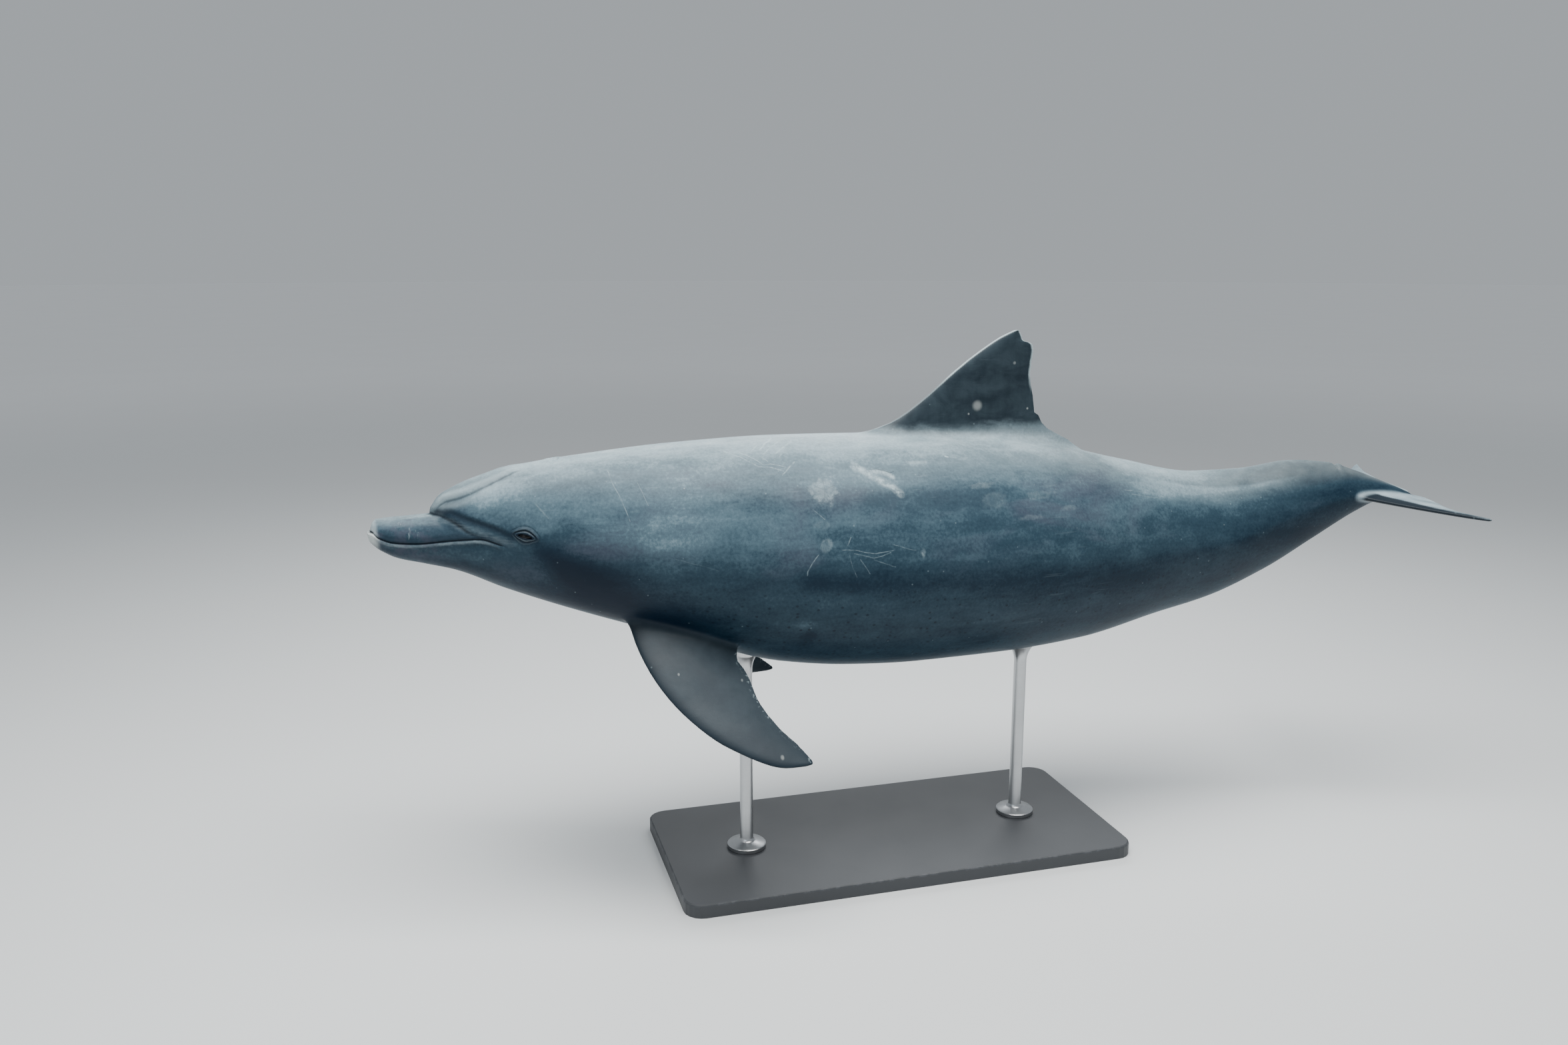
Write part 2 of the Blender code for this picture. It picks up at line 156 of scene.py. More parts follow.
@dataclass(frozen=True)
class BodyForm:
    """The whole animal without its fins, as sections about an axis that runs from the snout to the notch."""

    tail_end: float = 2.336
    tail_rounding: float = 0.007
    beak_nose_radius: float = 0.02
    upper_jaw_nose_radius: float = 0.013
    upper_jaw_setback: float = 0.0045
    dome_start: float = 0.108
    dome_end_of_beak: float = 0.28
    crease_softness: float = 0.006
    beak_power: float = 2.4
    swing_start: float = 1.5
    swing_curvature: float = 0.196
    thinnest: float = 0.004
    lip_softness: float = 0.0008
    setback_reach: float = 0.1
    axis: Curve = Curve((
        (0.0, 0.026), (0.03, 0.018), (0.07, 0.012), (0.22, 0.014), (0.32, 0.008), (0.5, -0.01), (0.7, -0.041),
        (1.0, -0.07), (1.3, -0.078), (1.6, -0.09), (1.79, -0.09), (1.98, -0.048), (2.12, -0.008),
        (2.2, 0.004), (2.3, 0.001), (2.336, -0.0065)))
    back: Curve = Curve((
        (0.108, 0.04), (0.114, 0.062), (0.13, 0.088), (0.155, 0.106), (0.2, 0.125), (0.27, 0.143),
        (0.4, 0.16), (0.6, 0.177), (0.8, 0.184), (1.0, 0.181), (1.2, 0.171), (1.4, 0.148), (1.6, 0.102),
        (1.79, 0.066), (1.9, 0.068), (2.03, 0.083), (2.12, 0.076), (2.2, 0.053), (2.25, 0.034), (2.3, 0.014),
        (2.336, -0.002)))
    belly: Curve = Curve((
        (0.0, 0.01), (0.02, -0.006), (0.05, -0.023), (0.1, -0.037), (0.16, -0.054), (0.25, -0.095),
        (0.4, -0.154), (0.6, -0.223), (0.8, -0.288), (0.95, -0.308), (1.1, -0.315), (1.3, -0.314),
        (1.5, -0.302), (1.7, -0.262), (1.84, -0.231), (1.98, -0.175), (2.1, -0.105), (2.2, -0.044),
        (2.25, -0.02), (2.3, -0.012), (2.336, -0.011)))
    beak_top: Curve = Curve((
        (0.0, 0.048), (0.03, 0.055), (0.08, 0.057), (0.12, 0.059), (0.15, 0.056), (0.2, 0.044), (0.28, 0.02)))
    beak_half_width: Curve = Curve((
        (0.0, 0.024), (0.02, 0.03), (0.05, 0.038), (0.1, 0.046), (0.15, 0.058), (0.2, 0.074), (0.28, 0.094)))
    half_width: Curve = Curve((
        (0.108, 0.008), (0.12, 0.028), (0.14, 0.046), (0.17, 0.063), (0.2, 0.077), (0.25, 0.101),
        (0.32, 0.124), (0.4, 0.143), (0.6, 0.182), (0.8, 0.211), (1.0, 0.221), (1.2, 0.214), (1.4, 0.19),
        (1.6, 0.148), (1.8, 0.102), (2.0, 0.064), (2.12, 0.047), (2.2, 0.038), (2.3, 0.024), (2.336, 0.014)))
    back_power: Curve = Curve(((0.12, 2.1), (0.6, 2.0), (1.1, 1.85), (1.6, 1.75), (2.0, 1.55), (2.3, 1.6)))
    belly_power: Curve = Curve((
        (0.0, 2.0), (0.3, 2.1), (0.9, 2.15), (1.4, 2.0), (1.75, 1.75), (2.0, 1.55), (2.3, 1.6)))
    mouth: Curve = Curve((
        (-0.01, 0.0325), (0.008, 0.032), (0.02, 0.022), (0.045, 0.013), (0.09, 0.01), (0.15, 0.015),
        (0.205, 0.019), (0.245, 0.009), (0.3, 0.002), (0.4, 0.0)))
    gape_station: float = 0.247

    def midline(self, station: Array) -> Array:
        """Return how far the midline lies towards +Y of the median plane."""
        return -0.5 * self.swing_curvature * np.maximum(station - self.swing_start, 0.0) ** 2

    def nose(self, station: Array, radius: float) -> Array:
        """Return the share of its full section that a round nose has at a station."""
        return np.sqrt(np.clip(1 - np.maximum(1 - station / radius, 0.0) ** 2, 1e-8, 1.0))

    def tail(self, station: Array) -> Array:
        """Return the share of its full section that the rounded end of the tail has at a station."""
        return self.nose(np.maximum(self.tail_end - station, 0.0), self.tail_rounding)

    def radius(self, station: Array, turn: Array) -> Array:
        """Work out the distance from the axis to the skin.

        Args:
            station: distances back from the snout.
            turn: angles from straight up, from 0 to pi.

        Returns:
            The radius at each place.
        """
        level = self.axis(station)
        beak = smooth_step(self.dome_end_of_beak - station, 0.0, 1e-4)
        wide = np.where(station > self.dome_start, self.half_width(station), 0.0)
        beak_wide = self.beak_half_width(station)
        lateral = np.where(beak > 0, smooth_max(beak_wide, wide, self.crease_softness), wide)
        low = superellipse(turn, lateral, level - self.belly(station), self.belly_power(station))
        low = low * self.nose(station, self.beak_nose_radius)
        rise = np.maximum(self.back(station) - level, 0.003)
        round_top = superellipse(turn, np.maximum(wide, self.thinnest), rise, self.back_power(station))
        dome = np.where(station > self.dome_start, round_top, 0.0)
        top = superellipse(turn, beak_wide, self.beak_top(station) - level, self.beak_power)
        high = np.where(beak > 0, smooth_max(top, dome, self.crease_softness), dome)
        high = high * self.nose(station, self.upper_jaw_nose_radius)
        above = smooth_step(np.cos(turn), -0.02, 0.02)
        return (low * (1 - above) + high * above) * self.tail(station)

    def point(self, station: Array, turn: Array, side: Array) -> Array:
        """Work out points of the skin.

        Args:
            station: distances back from the snout.
            turn: angles from straight up, from 0 to pi.
            side: the signs of Y.

        Returns:
            One row of x, y and z for each place.
        """
        radius = self.radius(station, turn)
        rise = radius * np.cos(turn)
        level = self.axis(station) + rise
        above = smooth_step(level - self.mouth(station), -self.lip_softness, self.lip_softness)
        setback = self.upper_jaw_setback * np.maximum(1 - station / self.setback_reach, 0.0) * above
        across = self.midline(station) + side * radius * np.sin(turn)
        return np.stack((station + setback - BALANCE_STATION, across, level + REFERENCE_HEIGHT), -1)

    def place(self, points: Array) -> tuple[Array, Array, Array, Array]:
        """Find where points lie.

        Args:
            points: rows of x, y and z.

        Returns:
            Their stations, their angles from straight up, their sides and their distances from the axis.
        """
        station = points[..., 0] + BALANCE_STATION
        across = points[..., 1] - self.midline(station)
        rise = points[..., 2] - REFERENCE_HEIGHT - self.axis(station)
        side = np.where(across < 0, -1.0, 1.0)
        return station, np.arctan2(np.abs(across), rise), side, np.hypot(across, rise)

    def stand_off(self, points: Array) -> Array:
        """Return how far outside the skin points lie, along their section's radius."""
        station, turn, _, distance = self.place(points)
        return distance - self.radius(station, turn)

    def onto_skin(self, points: Array) -> Array:
        """Return points moved onto the skin along their section's radius."""
        station, turn, side, _ = self.place(points)
        station = np.clip(station, 0.0, self.tail_end)
        return self.point(station, turn, side)

    def outward(self, points: Array) -> Array:
        """Return the skin's outward unit directions at points on it."""
        step = 1e-4
        slope = np.stack([self.stand_off(points + step * axis) - self.stand_off(points - step * axis)
                          for axis in np.eye(3)], -1)
        return slope / np.linalg.norm(slope, axis=-1, keepdims=True)

    def turn_at_level(self, station: Array, level: Array) -> Array:
        """Return the angle from straight up at which the skin has a level."""
        turn = np.full_like(np.asarray(station, float), 0.5 * math.pi)
        for _ in range(8):
            ratio = (level - self.axis(station)) / self.radius(station, turn)
            turn = 0.5 * turn + 0.5 * np.arccos(np.clip(ratio, -1.0, 1.0))
        return turn


def smooth_outside(maker: Maker) -> None:
    """Turn a closed mesh's faces outwards and smooth them."""
    bmesh.ops.recalc_face_normals(maker, faces=maker.faces)
    for face in maker.faces:
        face.smooth = True


def made_object(maker: Maker, name: str, material: Material) -> Object:
    """Turn a finished mesh into an object of that name and material, linked to the scene."""
    mesh = bpy.data.meshes.new(name)
    maker.to_mesh(mesh)
    maker.free()
    mesh.materials.append(material)
    made = bpy.data.objects.new(name, mesh)
    bpy.context.scene.collection.objects.link(made)
    return made


def plane_frame(origin: Vector, chord: Vector, span: Vector) -> Matrix:
    """Return the matrix of a fin's plane from its origin, its chord direction and a point along its span."""
    along = chord.normalized()
    upright = along.cross(span).normalized()
    out = upright.cross(along)
    matrix = Matrix((along, out, upright)).transposed().to_4x4()
    matrix.translation = origin
    return matrix


@dataclass(frozen=True)
class Blade:
    """A fin: sections with a round front and a thin back edge, from a root inside the body to a tip."""

    name: str
    leading: Triples
    trailing: Triples
    thickness: Curve
    frame: Matrix
    fillet: float = 0.018
    rows: int = 36
    bow: float = 0.0
    ragged: float = 0.0
    tip_rounding: float = 0.02
    rear_fillet: float = 1.0
    tatter_waves: Triple = (61.0, 23.0, 141.0)

    def edge(self, knots: Triples, way: Array) -> Array:
        """Return the (chord, span) points of an edge at shares of the way from root to tip."""
        chord = Curve(tuple((knot[0], knot[1]) for knot in knots))
        span = Curve(tuple((knot[0], knot[2]) for knot in knots))
        return np.stack((chord(way), span(way)), -1)

    def point(self, way: Array, turn: Array) -> Array:
        """Work out points of the fin's surface.

        Args:
            way: shares of the way from root to tip.
            turn: places round the section, 0 at the front edge and pi at the back one.

        Returns:
            One row of x, y and z for each place.
        """
        way = np.broadcast_to(way, np.shape(turn))
        front, back = self.edge(self.leading, way), self.edge(self.trailing, way)
        main, slow, fine = (way * wave for wave in self.tatter_waves)
        tatters = np.sin(main) * np.sin(slow + 1.0) + 0.5 * np.sin(fine)
        back = back + np.stack((self.ragged * tatters * smooth_step(way, 0.25, 0.5), np.zeros_like(way)), -1)
        along = 0.5 * (1 - np.cos(turn))
        shape = 1.9 * np.sqrt(along) * (1 - along) + 0.06 * np.sqrt(along)
        flat = front + (back - front) * along[..., None]
        height = np.sign(np.sin(turn)) * (0.5 * self.thickness(way) * shape + 0.0004 * (along > 1e-6))
        closing = np.clip((way - 1 + self.tip_rounding) / self.tip_rounding, 0.0, 1.0)
        left = np.sqrt(np.maximum(1 - closing ** 2, 0.02))
        middle = 0.5 * (front + back)
        flat = middle + (flat - middle) * left[..., None]
        height = height * left + self.bow * flat[..., 1] ** 2
        local = np.concatenate((flat, height[..., None]), -1)
        matrix = np.array(self.frame)
        return local @ matrix[:3, :3].T + matrix[:3, 3]

    def root(self, form: BodyForm, turn: Array) -> Array:
        """Return the share of the way at which the surface leaves the body, for each place round it."""
        low, high = np.zeros_like(turn), np.full_like(turn, 0.9)
        for _ in range(26):
            middle = 0.5 * (low + high)
            inside = form.stand_off(self.point(middle, turn)) < 0
            low, high = np.where(inside, middle, low), np.where(inside, high, middle)
        return high


class SkinMesh:
    """The skin's mesh while it is built: openings, rows grown out of them, and measures at its points."""

    MEASURES = (
        "mouth_gap", "groove_gap", "bridle_gap", "crease_gap", "eye_ring", "eye_rise", "tone", "dorsal",
        "flipper", "fluke", "front_gap", "rear_gap", "under", "round_turn")
    LINES = MEASURES[:4]
    FAR_GAP, FAR_EDGE, FAR_RING = 0.05, 0.2, 9.0
    BENDS = 7
    MIDLINE_STRIP = 0.003

    def __init__(self, form: BodyForm) -> None:
        """Start with an empty mesh round a body form."""
        self.form = form
        self.bm = bmesh.new()
        self.layers = {name: self.bm.verts.layers.float.new(name) for name in self.MEASURES}
        self.grown = self.bm.verts.layers.int.new("grown")

    def lay(self, stations: Array, columns: int, turns: Callable[[Array, Array], Array]) -> None:
        """Lay a sphere's net over the body.

        Args:
            stations: the rings' stations, with the snout's first and the tail end's last.
            columns: how many columns go down each side.
            turns: gives angles from straight up for shares of the way down and stations.
        """
        bmesh.ops.create_uvsphere(self.bm, u_segments=2 * columns, v_segments=len(stations) - 1, radius=1.0)
        unit = self.positions()
        ring = np.rint(np.arccos(np.clip(unit[:, 2], -1, 1)) / math.pi * (len(stations) - 1)).astype(int)
        longitude = np.arctan2(unit[:, 1], unit[:, 0])
        share = np.rint(np.abs(longitude) / math.pi * columns) / columns
        station = stations[ring]
        points = self.form.point(station, turns(share, station), np.where(longitude < 0, -1.0, 1.0))
        self.move(list(self.bm.verts), points)
        bmesh.ops.recalc_face_normals(self.bm, faces=self.bm.faces)

    def positions(self, verts: Sequence[Vert] | None = None) -> Array:
        """Return the places of points, all of them by default."""
        return np.array([v.co for v in (self.bm.verts if verts is None else verts)], float).reshape(-1, 3)

    def move(self, verts: Sequence[Vert], points: Array) -> None:
        """Put points at new places."""
        for vert, point in zip(verts, points):
            vert.co = point

    def keep(self, verts: Sequence[Vert], measures: dict[str, Array]) -> None:
        """Keep measures, one value for each point, on points."""
        for name, values in measures.items():
            layer = self.layers[name]
            for vert, value in zip(verts, np.broadcast_to(values, len(verts))):
                vert[layer] = float(value)

    def refine(self, centre: Array, reach: Triple, cuts: int) -> None:
        """Divide the faces in a box more finely and lay the new points on the body.

        Args:
            centre: the middle of the box.
            reach: half of its size along each axis.
            cuts: how many cuts each edge gets.
        """
        faces = [f for f in self.bm.faces
                 if np.all(np.abs(np.array(f.calc_center_median()) - centre) < reach)]
        edges = list({edge for face in faces for edge in face.edges})
        made = bmesh.ops.subdivide_edges(self.bm, edges=edges, cuts=cuts, use_grid_fill=True)
        fresh = list({item for item in made["geom_inner"] if isinstance(item, Vert)})
        self.move(fresh, self.form.onto_skin(self.positions(fresh)))

    def open(self, outline: Array, chart: tuple[Vector, Vector], side: float,
             rounds: int = 24) -> tuple[list, Array]:
        """Open the skin inside an outline that lies on it, and fit the edge of the hole to the outline.

        Args:
            outline: the closed outline's points, in order.
            chart: two directions that span the view in which the outline is read.
            side: the sign of Y on which it lies, or 0 for across the back.
            rounds: how often the points round the hole are evened out.

        Returns:
            The edge's points in order, and each one's share of the way round the outline.
        """
        axes = np.array([list(chart[0]), list(chart[1])])
        flat = outline @ axes.T
        middle, reach = outline.mean(0), np.ptp(outline, axis=0).max()
        near = [f for f in self.bm.faces if np.abs(np.array(f.calc_center_median()) - middle).max() < reach]
        centres = np.array([f.calc_center_median() for f in near])
        inside = self._within(centres @ axes.T, flat)
        across = centres[:, 1] - self.form.midline(centres[:, 0] + BALANCE_STATION)
        inside &= (across * side > self.MIDLINE_STRIP) if side else (centres[:, 2] > REFERENCE_HEIGHT)
        faces = [f for f, chosen in zip(near, inside) if chosen]
        taken = set(faces)
        rim = [e for e in {e for f in faces for e in f.edges} if sum(f in taken for f in e.link_faces) == 1]
        bmesh.ops.delete(self.bm, geom=faces, context="FACES")
        loop = self._ordered(rim)
        spots, shares = self._spread(outline, len(loop))
        loop = self._matched(loop, spots)
        self.move(loop, spots)
        self._even_out(loop, rounds)
        return loop, shares

    def _within(self, points: Array, outline: Array) -> Array:
        """Return which flat points lie inside a closed outline."""
        inside = np.zeros(len(points), bool)
        for a, b in zip(outline, np.roll(outline, -1, 0)):
            if a[1] == b[1]:
                continue
            crosses = (a[1] > points[:, 1]) != (b[1] > points[:, 1])
            inside ^= crosses & (points[:, 0] < (b[0] - a[0]) * (points[:, 1] - a[1]) / (b[1] - a[1]) + a[0])
        return inside

    def _ordered(self, edges: list) -> list:
        """Return the points of the longest closed chain of edges, in order."""
        joined: dict = {}
        for edge in edges:
            for vert in edge.verts:
                joined.setdefault(vert, []).append(edge)
        chains, left = [], set(edges)
        while left:
            edge = left.pop()
            chain = [edge.verts[0], edge.verts[1]]
            while True:
                onward = [e for e in joined[chain[-1]] if e in left]
                if not onward:
                    break
                left.discard(onward[0])
                chain.append(onward[0].other_vert(chain[-1]))
            chains.append(chain[:-1])
        return max(chains, key=len)

    def _spread(self, outline: Array, count: int) -> tuple[Array, Array]:
        """Return points spread over an outline, closer at its two ends, and their shares of the way round."""
        closed = np.vstack((outline, outline[:1]))
        length = np.concatenate(([0.0], np.cumsum(np.linalg.norm(np.diff(closed, axis=0), axis=1))))
        shares = np.linspace(0.0, 1.0, len(closed))
        measure = 0.5 * length / length[-1] + 0.5 * shares
        wanted = np.interp(np.arange(count) / count, measure, shares)
        spots = np.stack([np.interp(wanted, shares, closed[:, axis]) for axis in range(3)], -1)
        return spots, wanted

    def _matched(self, loop: list, spots: Array) -> list:
        """Return a loop turned and shifted so that its points lie nearest to their spots."""
        best = (math.inf, 0, False)
        for backward in (False, True):
            places = self.positions(loop[::-1] if backward else loop)
            for shift in range(len(loop)):
                miss = float(((np.roll(places, -shift, 0) - spots) ** 2).sum())
                best = min(best, (miss, shift, backward))
        _, shift, backward = best
        turned = loop[::-1] if backward else loop
        return turned[shift:] + turned[:shift]

    def _even_out(self, loop: list, rounds: int, depth: int = 9) -> None:
        """Even out the points round a hole, keeping them on the body."""
        fixed, layer, chosen = set(loop), set(loop), []
        for _ in range(depth):
            layer = {e.other_vert(v) for v in layer for e in v.link_edges} - fixed
            fixed |= layer
            chosen += [v for v in layer if not v.is_boundary]
        held = [[e.other_vert(v) for e in v.link_edges] for v in chosen]
        for _ in range(rounds):
            means = np.array([np.mean([v.co for v in around], axis=0) for around in held])
            self.move(chosen, self.form.onto_skin(0.5 * self.positions(chosen) + 0.5 * means))

    def next_row(self, ring: list) -> list:
        """Return the ring of points that an extrusion of a ring's edges gives."""
        edges = [self.bm.edges.get(pair) for pair in zip(ring, ring[1:] + ring[:1])]
        grown = bmesh.ops.extrude_edge_only(self.bm, edges=edges)["geom"]
        fresh = {item for item in grown if isinstance(item, Vert)}
        return [next(v for v in (e.other_vert(old) for e in old.link_edges) if v in fresh) for old in ring]

    def close(self, ring: list) -> None:
        """Close the end of a grown ring with a fan."""
        edges = [self.bm.edges.get(pair) for pair in zip(ring, ring[1:] + ring[:1])]
        made = bmesh.ops.contextual_create(self.bm, geom=edges)["faces"]
        bmesh.ops.poke(self.bm, faces=made)

    def grow(self, blade: Blade, loop: list, shares: Array) -> None:
        """Grow a fin out of an opening.

        Args:
            blade: the fin.
            loop: the opening's points in order.
            shares: each point's share of the way round the fin's section.
        """
        turn = 2 * math.pi * shares
        way = blade.root(self.form, turn)
        feet = blade.point(way, turn)
        starts = self.positions(loop)
        rise = 0.1 if blade.name == "fluke" else 0.07
        shoulder_way = way + rise * (1 - way)
        shoulders = blade.point(shoulder_way, turn)
        bends, ring = self.BENDS, loop
        rows = [(1 - t) ** 2 * starts + 2 * t * (1 - t) * feet + t * t * shoulders
                for t in (i / bends for i in range(1, bends + 1))]
        ways = [way + (shoulder_way - way) * i / bends for i in range(1, bends + 1)]
        for i in range(1, blade.rows + 1):
            share = math.sin(0.5 * math.pi * i / blade.rows) ** 0.85
            ways.append(shoulder_way + (1 - shoulder_way) * share)
            rows.append(blade.point(ways[-1], turn))
        start = float(way.mean())
        under = (turn > math.pi) == (blade.frame[2][2] > 0)
        for number, (points, at) in enumerate(zip(rows, ways)):
            ring = self.next_row(ring)
            self.move(ring, points)
            front, back = blade.point(at, np.zeros_like(turn)), blade.point(at, np.full_like(turn, math.pi))
            self.keep(ring, {blade.name: min(1.0, (number + 1) / bends) + at - start, "under": under,
                             "front_gap": np.linalg.norm(points - front, axis=1),
                             "rear_gap": np.linalg.norm(points - back, axis=1)})
            for vert in ring:
                vert[self.grown] = 1
        self.close(ring)


@dataclass(frozen=True)
class SkinLine:
    """A line on both sides of the head, through (station, level) knots."""

    knots: Pairs
    samples: int = 240

    def gap(self, form: BodyForm, points: Array) -> Array:
        """Work out how far points lie from the line.

        Args:
            form: the body on which the line lies.
            points: rows of x, y and z.

        Returns:
            Distances in metres, above the line positive and below it negative.
        """
        level_at = Curve(self.knots)
        stations = np.linspace(self.knots[0][0], self.knots[-1][0], self.samples)
        track = form.point(stations, form.turn_at_level(stations, level_at(stations)), 1.0)
        mirrored = points * np.array((1.0, 0.0, 1.0)) + np.abs(points) * np.array((0.0, 1.0, 0.0))
        distance = np.min([np.linalg.norm(mirrored - spot, axis=1) for spot in track], axis=0)
        above = points[:, 2] - REFERENCE_HEIGHT - level_at(points[:, 0] + BALANCE_STATION)
        return np.where(above < 0, -distance, distance)


@dataclass(frozen=True)
class Patch:
    """A soft pale or dark patch of pigment, at a station and level, leaning down towards the tail."""

    station: float
    level: float
    length: float
    height: float
    amount: float
    lean: float = 0.0

    def __call__(self, station: Array, level: Array) -> Array:
        """Return how much the patch lightens the skin at stations and levels."""
        lean = math.radians(self.lean)
        along = (station - self.station) * math.cos(lean) - (level - self.level) * math.sin(lean)
        across = (station - self.station) * math.sin(lean) + (level - self.level) * math.cos(lean)
        return self.amount * np.exp(-(along / self.length) ** 2 - (across / self.height) ** 2)


@dataclass(frozen=True)
class EyePlace:
    """Where the eyes lie and how large they are."""

    station: float = 0.286
    level: float = 0.0275
    sunk: float = 0.0055
    ball: Triple = (0.0173, 0.0083, 0.0078)
    opening: Triple = (0.0152, 0.005, 0.004)
    tilt: float = 13.0
    ring_step: float = 0.0052

    def frame(self, form: BodyForm, side: Side) -> tuple[Array, Array, Array, Array]:
        """Return the eye's point on the skin and its backward, upward and outward directions."""
        station, level = np.array(self.station), np.array(self.level)
        centre = form.point(station, form.turn_at_level(station, level), float(side.value))
        out = form.outward(centre[None])[0]
        back = np.cross(out, (0.0, 0.0, 1.0)) * side.value
        back /= np.linalg.norm(back)
        up = np.cross(back, out) * side.value
        cosine, sine = math.cos(math.radians(self.tilt)), math.sin(math.radians(self.tilt))
        return centre, back * cosine - up * sine, up * cosine + back * sine, out

    def outline(self, form: BodyForm, side: Side, count: int = 160) -> Array:
        """Return the closed outline of the opening between the lids, on the skin."""
        centre, back, up, _ = self.frame(form, side)
        turn = np.linspace(0.0, 2 * math.pi, count, endpoint=False)
        length, above, below = self.opening
        sine, cosine = np.sin(turn), np.cos(turn)
        height = np.where(sine > 0, above, below) * np.sign(sine) * np.abs(sine) ** 1.25
        return form.onto_skin(centre - cosine[:, None] * length * back + height[:, None] * up)

    def ring(self, form: BodyForm, side: Side, points: Array) -> tuple[Array, Array]:
        """Work out how far points lie from an eye.

        Args:
            form: the body in which the eye lies.
            side: the eye's side.
            points: rows of x, y and z.

        Returns:
            Each point's ring, 1 at the edge of the lids and 1 more for each step away from it, and its rise,
            from -1 straight below the eye to 1 straight above it.
        """
        centre, back, up, out = self.frame(form, side)
        along, rise, off = (points - centre) @ back, (points - centre) @ up, (points - centre) @ out
        height = np.where(rise > 0, self.opening[1], self.opening[2])
        away = np.maximum(np.hypot(along, rise), 1e-6)
        share = np.maximum(np.hypot(along / self.opening[0], rise / height), 1e-6)
        ring = np.where(share < 1, share, 1 + away * (1 - 1 / share) / self.ring_step)
        return ring + (off / 0.02) ** 2, rise / away


@dataclass
class Fins:
    """The sizes and places of the dorsal fin, the flippers and the flukes."""

    dorsal_leading: Triples = (
        (0.0, 0.93, 0.12), (0.143, 0.98, 0.174), (0.286, 1.06, 0.202), (0.429, 1.134, 0.251),
        (0.571, 1.195, 0.302), (0.714, 1.254, 0.345), (0.857, 1.307, 0.377), (1.0, 1.338, 0.3895))
    dorsal_trailing: Triples = (
        (0.0, 1.56, 0.07), (0.143, 1.485, 0.141), (0.286, 1.411, 0.184), (0.34, 1.397, 0.207),
        (0.362, 1.389, 0.2105), (0.429, 1.386, 0.235), (0.571, 1.376, 0.29), (0.69, 1.379, 0.334),
        (0.725, 1.381, 0.345), (0.755, 1.38, 0.353), (0.8, 1.373, 0.362), (0.86, 1.358, 0.3655),
        (0.93, 1.3505, 0.38), (1.0, 1.346, 0.3885))
    flipper_leading: Pairs = (
        (-0.03, -0.05), (0.0, 0.0), (0.03, 0.062), (0.078, 0.13), (0.145, 0.19), (0.232, 0.235),
        (0.328, 0.254), (0.398, 0.236))
    flipper_trailing: Pairs = (
        (0.19, -0.06), (0.226, 0.0), (0.229, 0.036), (0.251, 0.063), (0.281, 0.12), (0.324, 0.167),
        (0.366, 0.197), (0.401, 0.226))
    fluke_leading: Pairs = (
        (-0.022, 0.0), (-0.006, 0.018), (0.022, 0.052), (0.063, 0.102), (0.101, 0.147), (0.138, 0.192),
        (0.169, 0.229), (0.194, 0.253))
    fluke_trailing: Pairs = (
        (0.16, 0.0), (0.176, 0.012), (0.188, 0.034), (0.185, 0.08), (0.176, 0.128), (0.177, 0.175),
        (0.186, 0.218), (0.198, 0.251))

    def even(self, knots: Pairs) -> Triples:
        """Return (chord, span) knots with their shares of the way from root to tip before them."""
        return tuple((i / (len(knots) - 1), chord, span) for i, (chord, span) in enumerate(knots))

    def place(self, station: float, side: float, level: float) -> Vector:
        """Return the point at a station, a distance towards +Y and a level."""
        return Vector((station - BALANCE_STATION, side, level + REFERENCE_HEIGHT))

    def dorsal(self) -> Blade:
        """Return the dorsal fin, with its worn tip and the nick in its back edge."""
        frame = plane_frame(self.place(0.0, 0.0, 0.0), Vector((1, 0, 0)), Vector((0, 0, 1)))
        thickness = Curve(((0.0, 0.09), (0.16, 0.056), (0.35, 0.034), (0.7, 0.022), (1.0, 0.01)))
        return Blade("dorsal", self.dorsal_leading, self.dorsal_trailing, thickness, frame, fillet=0.022,
                     rows=42, ragged=0.0006, tip_rounding=0.015)

    def flipper(self, side: Side) -> Blade:
        """Return a flipper, the right one swept further back and held closer than the left."""
        sweep, fold = (0.0, 0.0) if side is Side.LEFT else (12.0, 10.0)
        mirror = Vector((1, side.value, 1))
        inward = Matrix.Rotation(math.radians(-side.value * fold), 3, "X")
        frame = plane_frame(self.place(0.478, side.value * 0.085, -0.155),
                            inward @ (Vector((0.953, 0.135, -0.27)) * mirror),
                            inward @ (Vector((-0.281, 0.721, -0.633)) * mirror))
        frame = frame @ Matrix.Rotation(math.radians(-sweep), 4, "Z")
        thickness = Curve(((0.0, 0.052), (0.14, 0.04), (0.4, 0.026), (0.8, 0.012), (1.0, 0.006)))
        return Blade("flipper", self.even(self.flipper_leading), self.even(self.flipper_trailing), thickness,
                     frame, fillet=0.016, rows=36, ragged=0.0009, tip_rounding=0.03)

    def fluke(self, side: Side, form: BodyForm) -> Blade:
        """Return a fluke, turned with the swing of the tail and a little upturned or drooped by its roll."""
        foot, upturn, gap = 2.17, 0.15, 0.0003
        turn = (Matrix.Rotation(math.radians(-7), 3, "Z") @ Matrix.Rotation(math.radians(3), 3, "Y")
                @ Matrix.Rotation(math.radians(4.5), 3, "X"))
        origin = self.place(foot, float(form.midline(np.array(foot))), 0.002)
        origin += turn @ Vector((0, side.value * gap, 0))
        frame = plane_frame(origin, turn @ Vector((1, 0, 0)), turn @ Vector((0, side.value, 0)))
        thickness = Curve(((0.0, 0.038), (0.15, 0.029), (0.5, 0.018), (1.0, 0.007)))
        return Blade("fluke", self.even(self.fluke_leading), self.even(self.fluke_trailing), thickness, frame,
                     fillet=0.011, rows=34, bow=side.value * upturn, ragged=0.0008, tip_rounding=0.03,
                     rear_fillet=0.12)


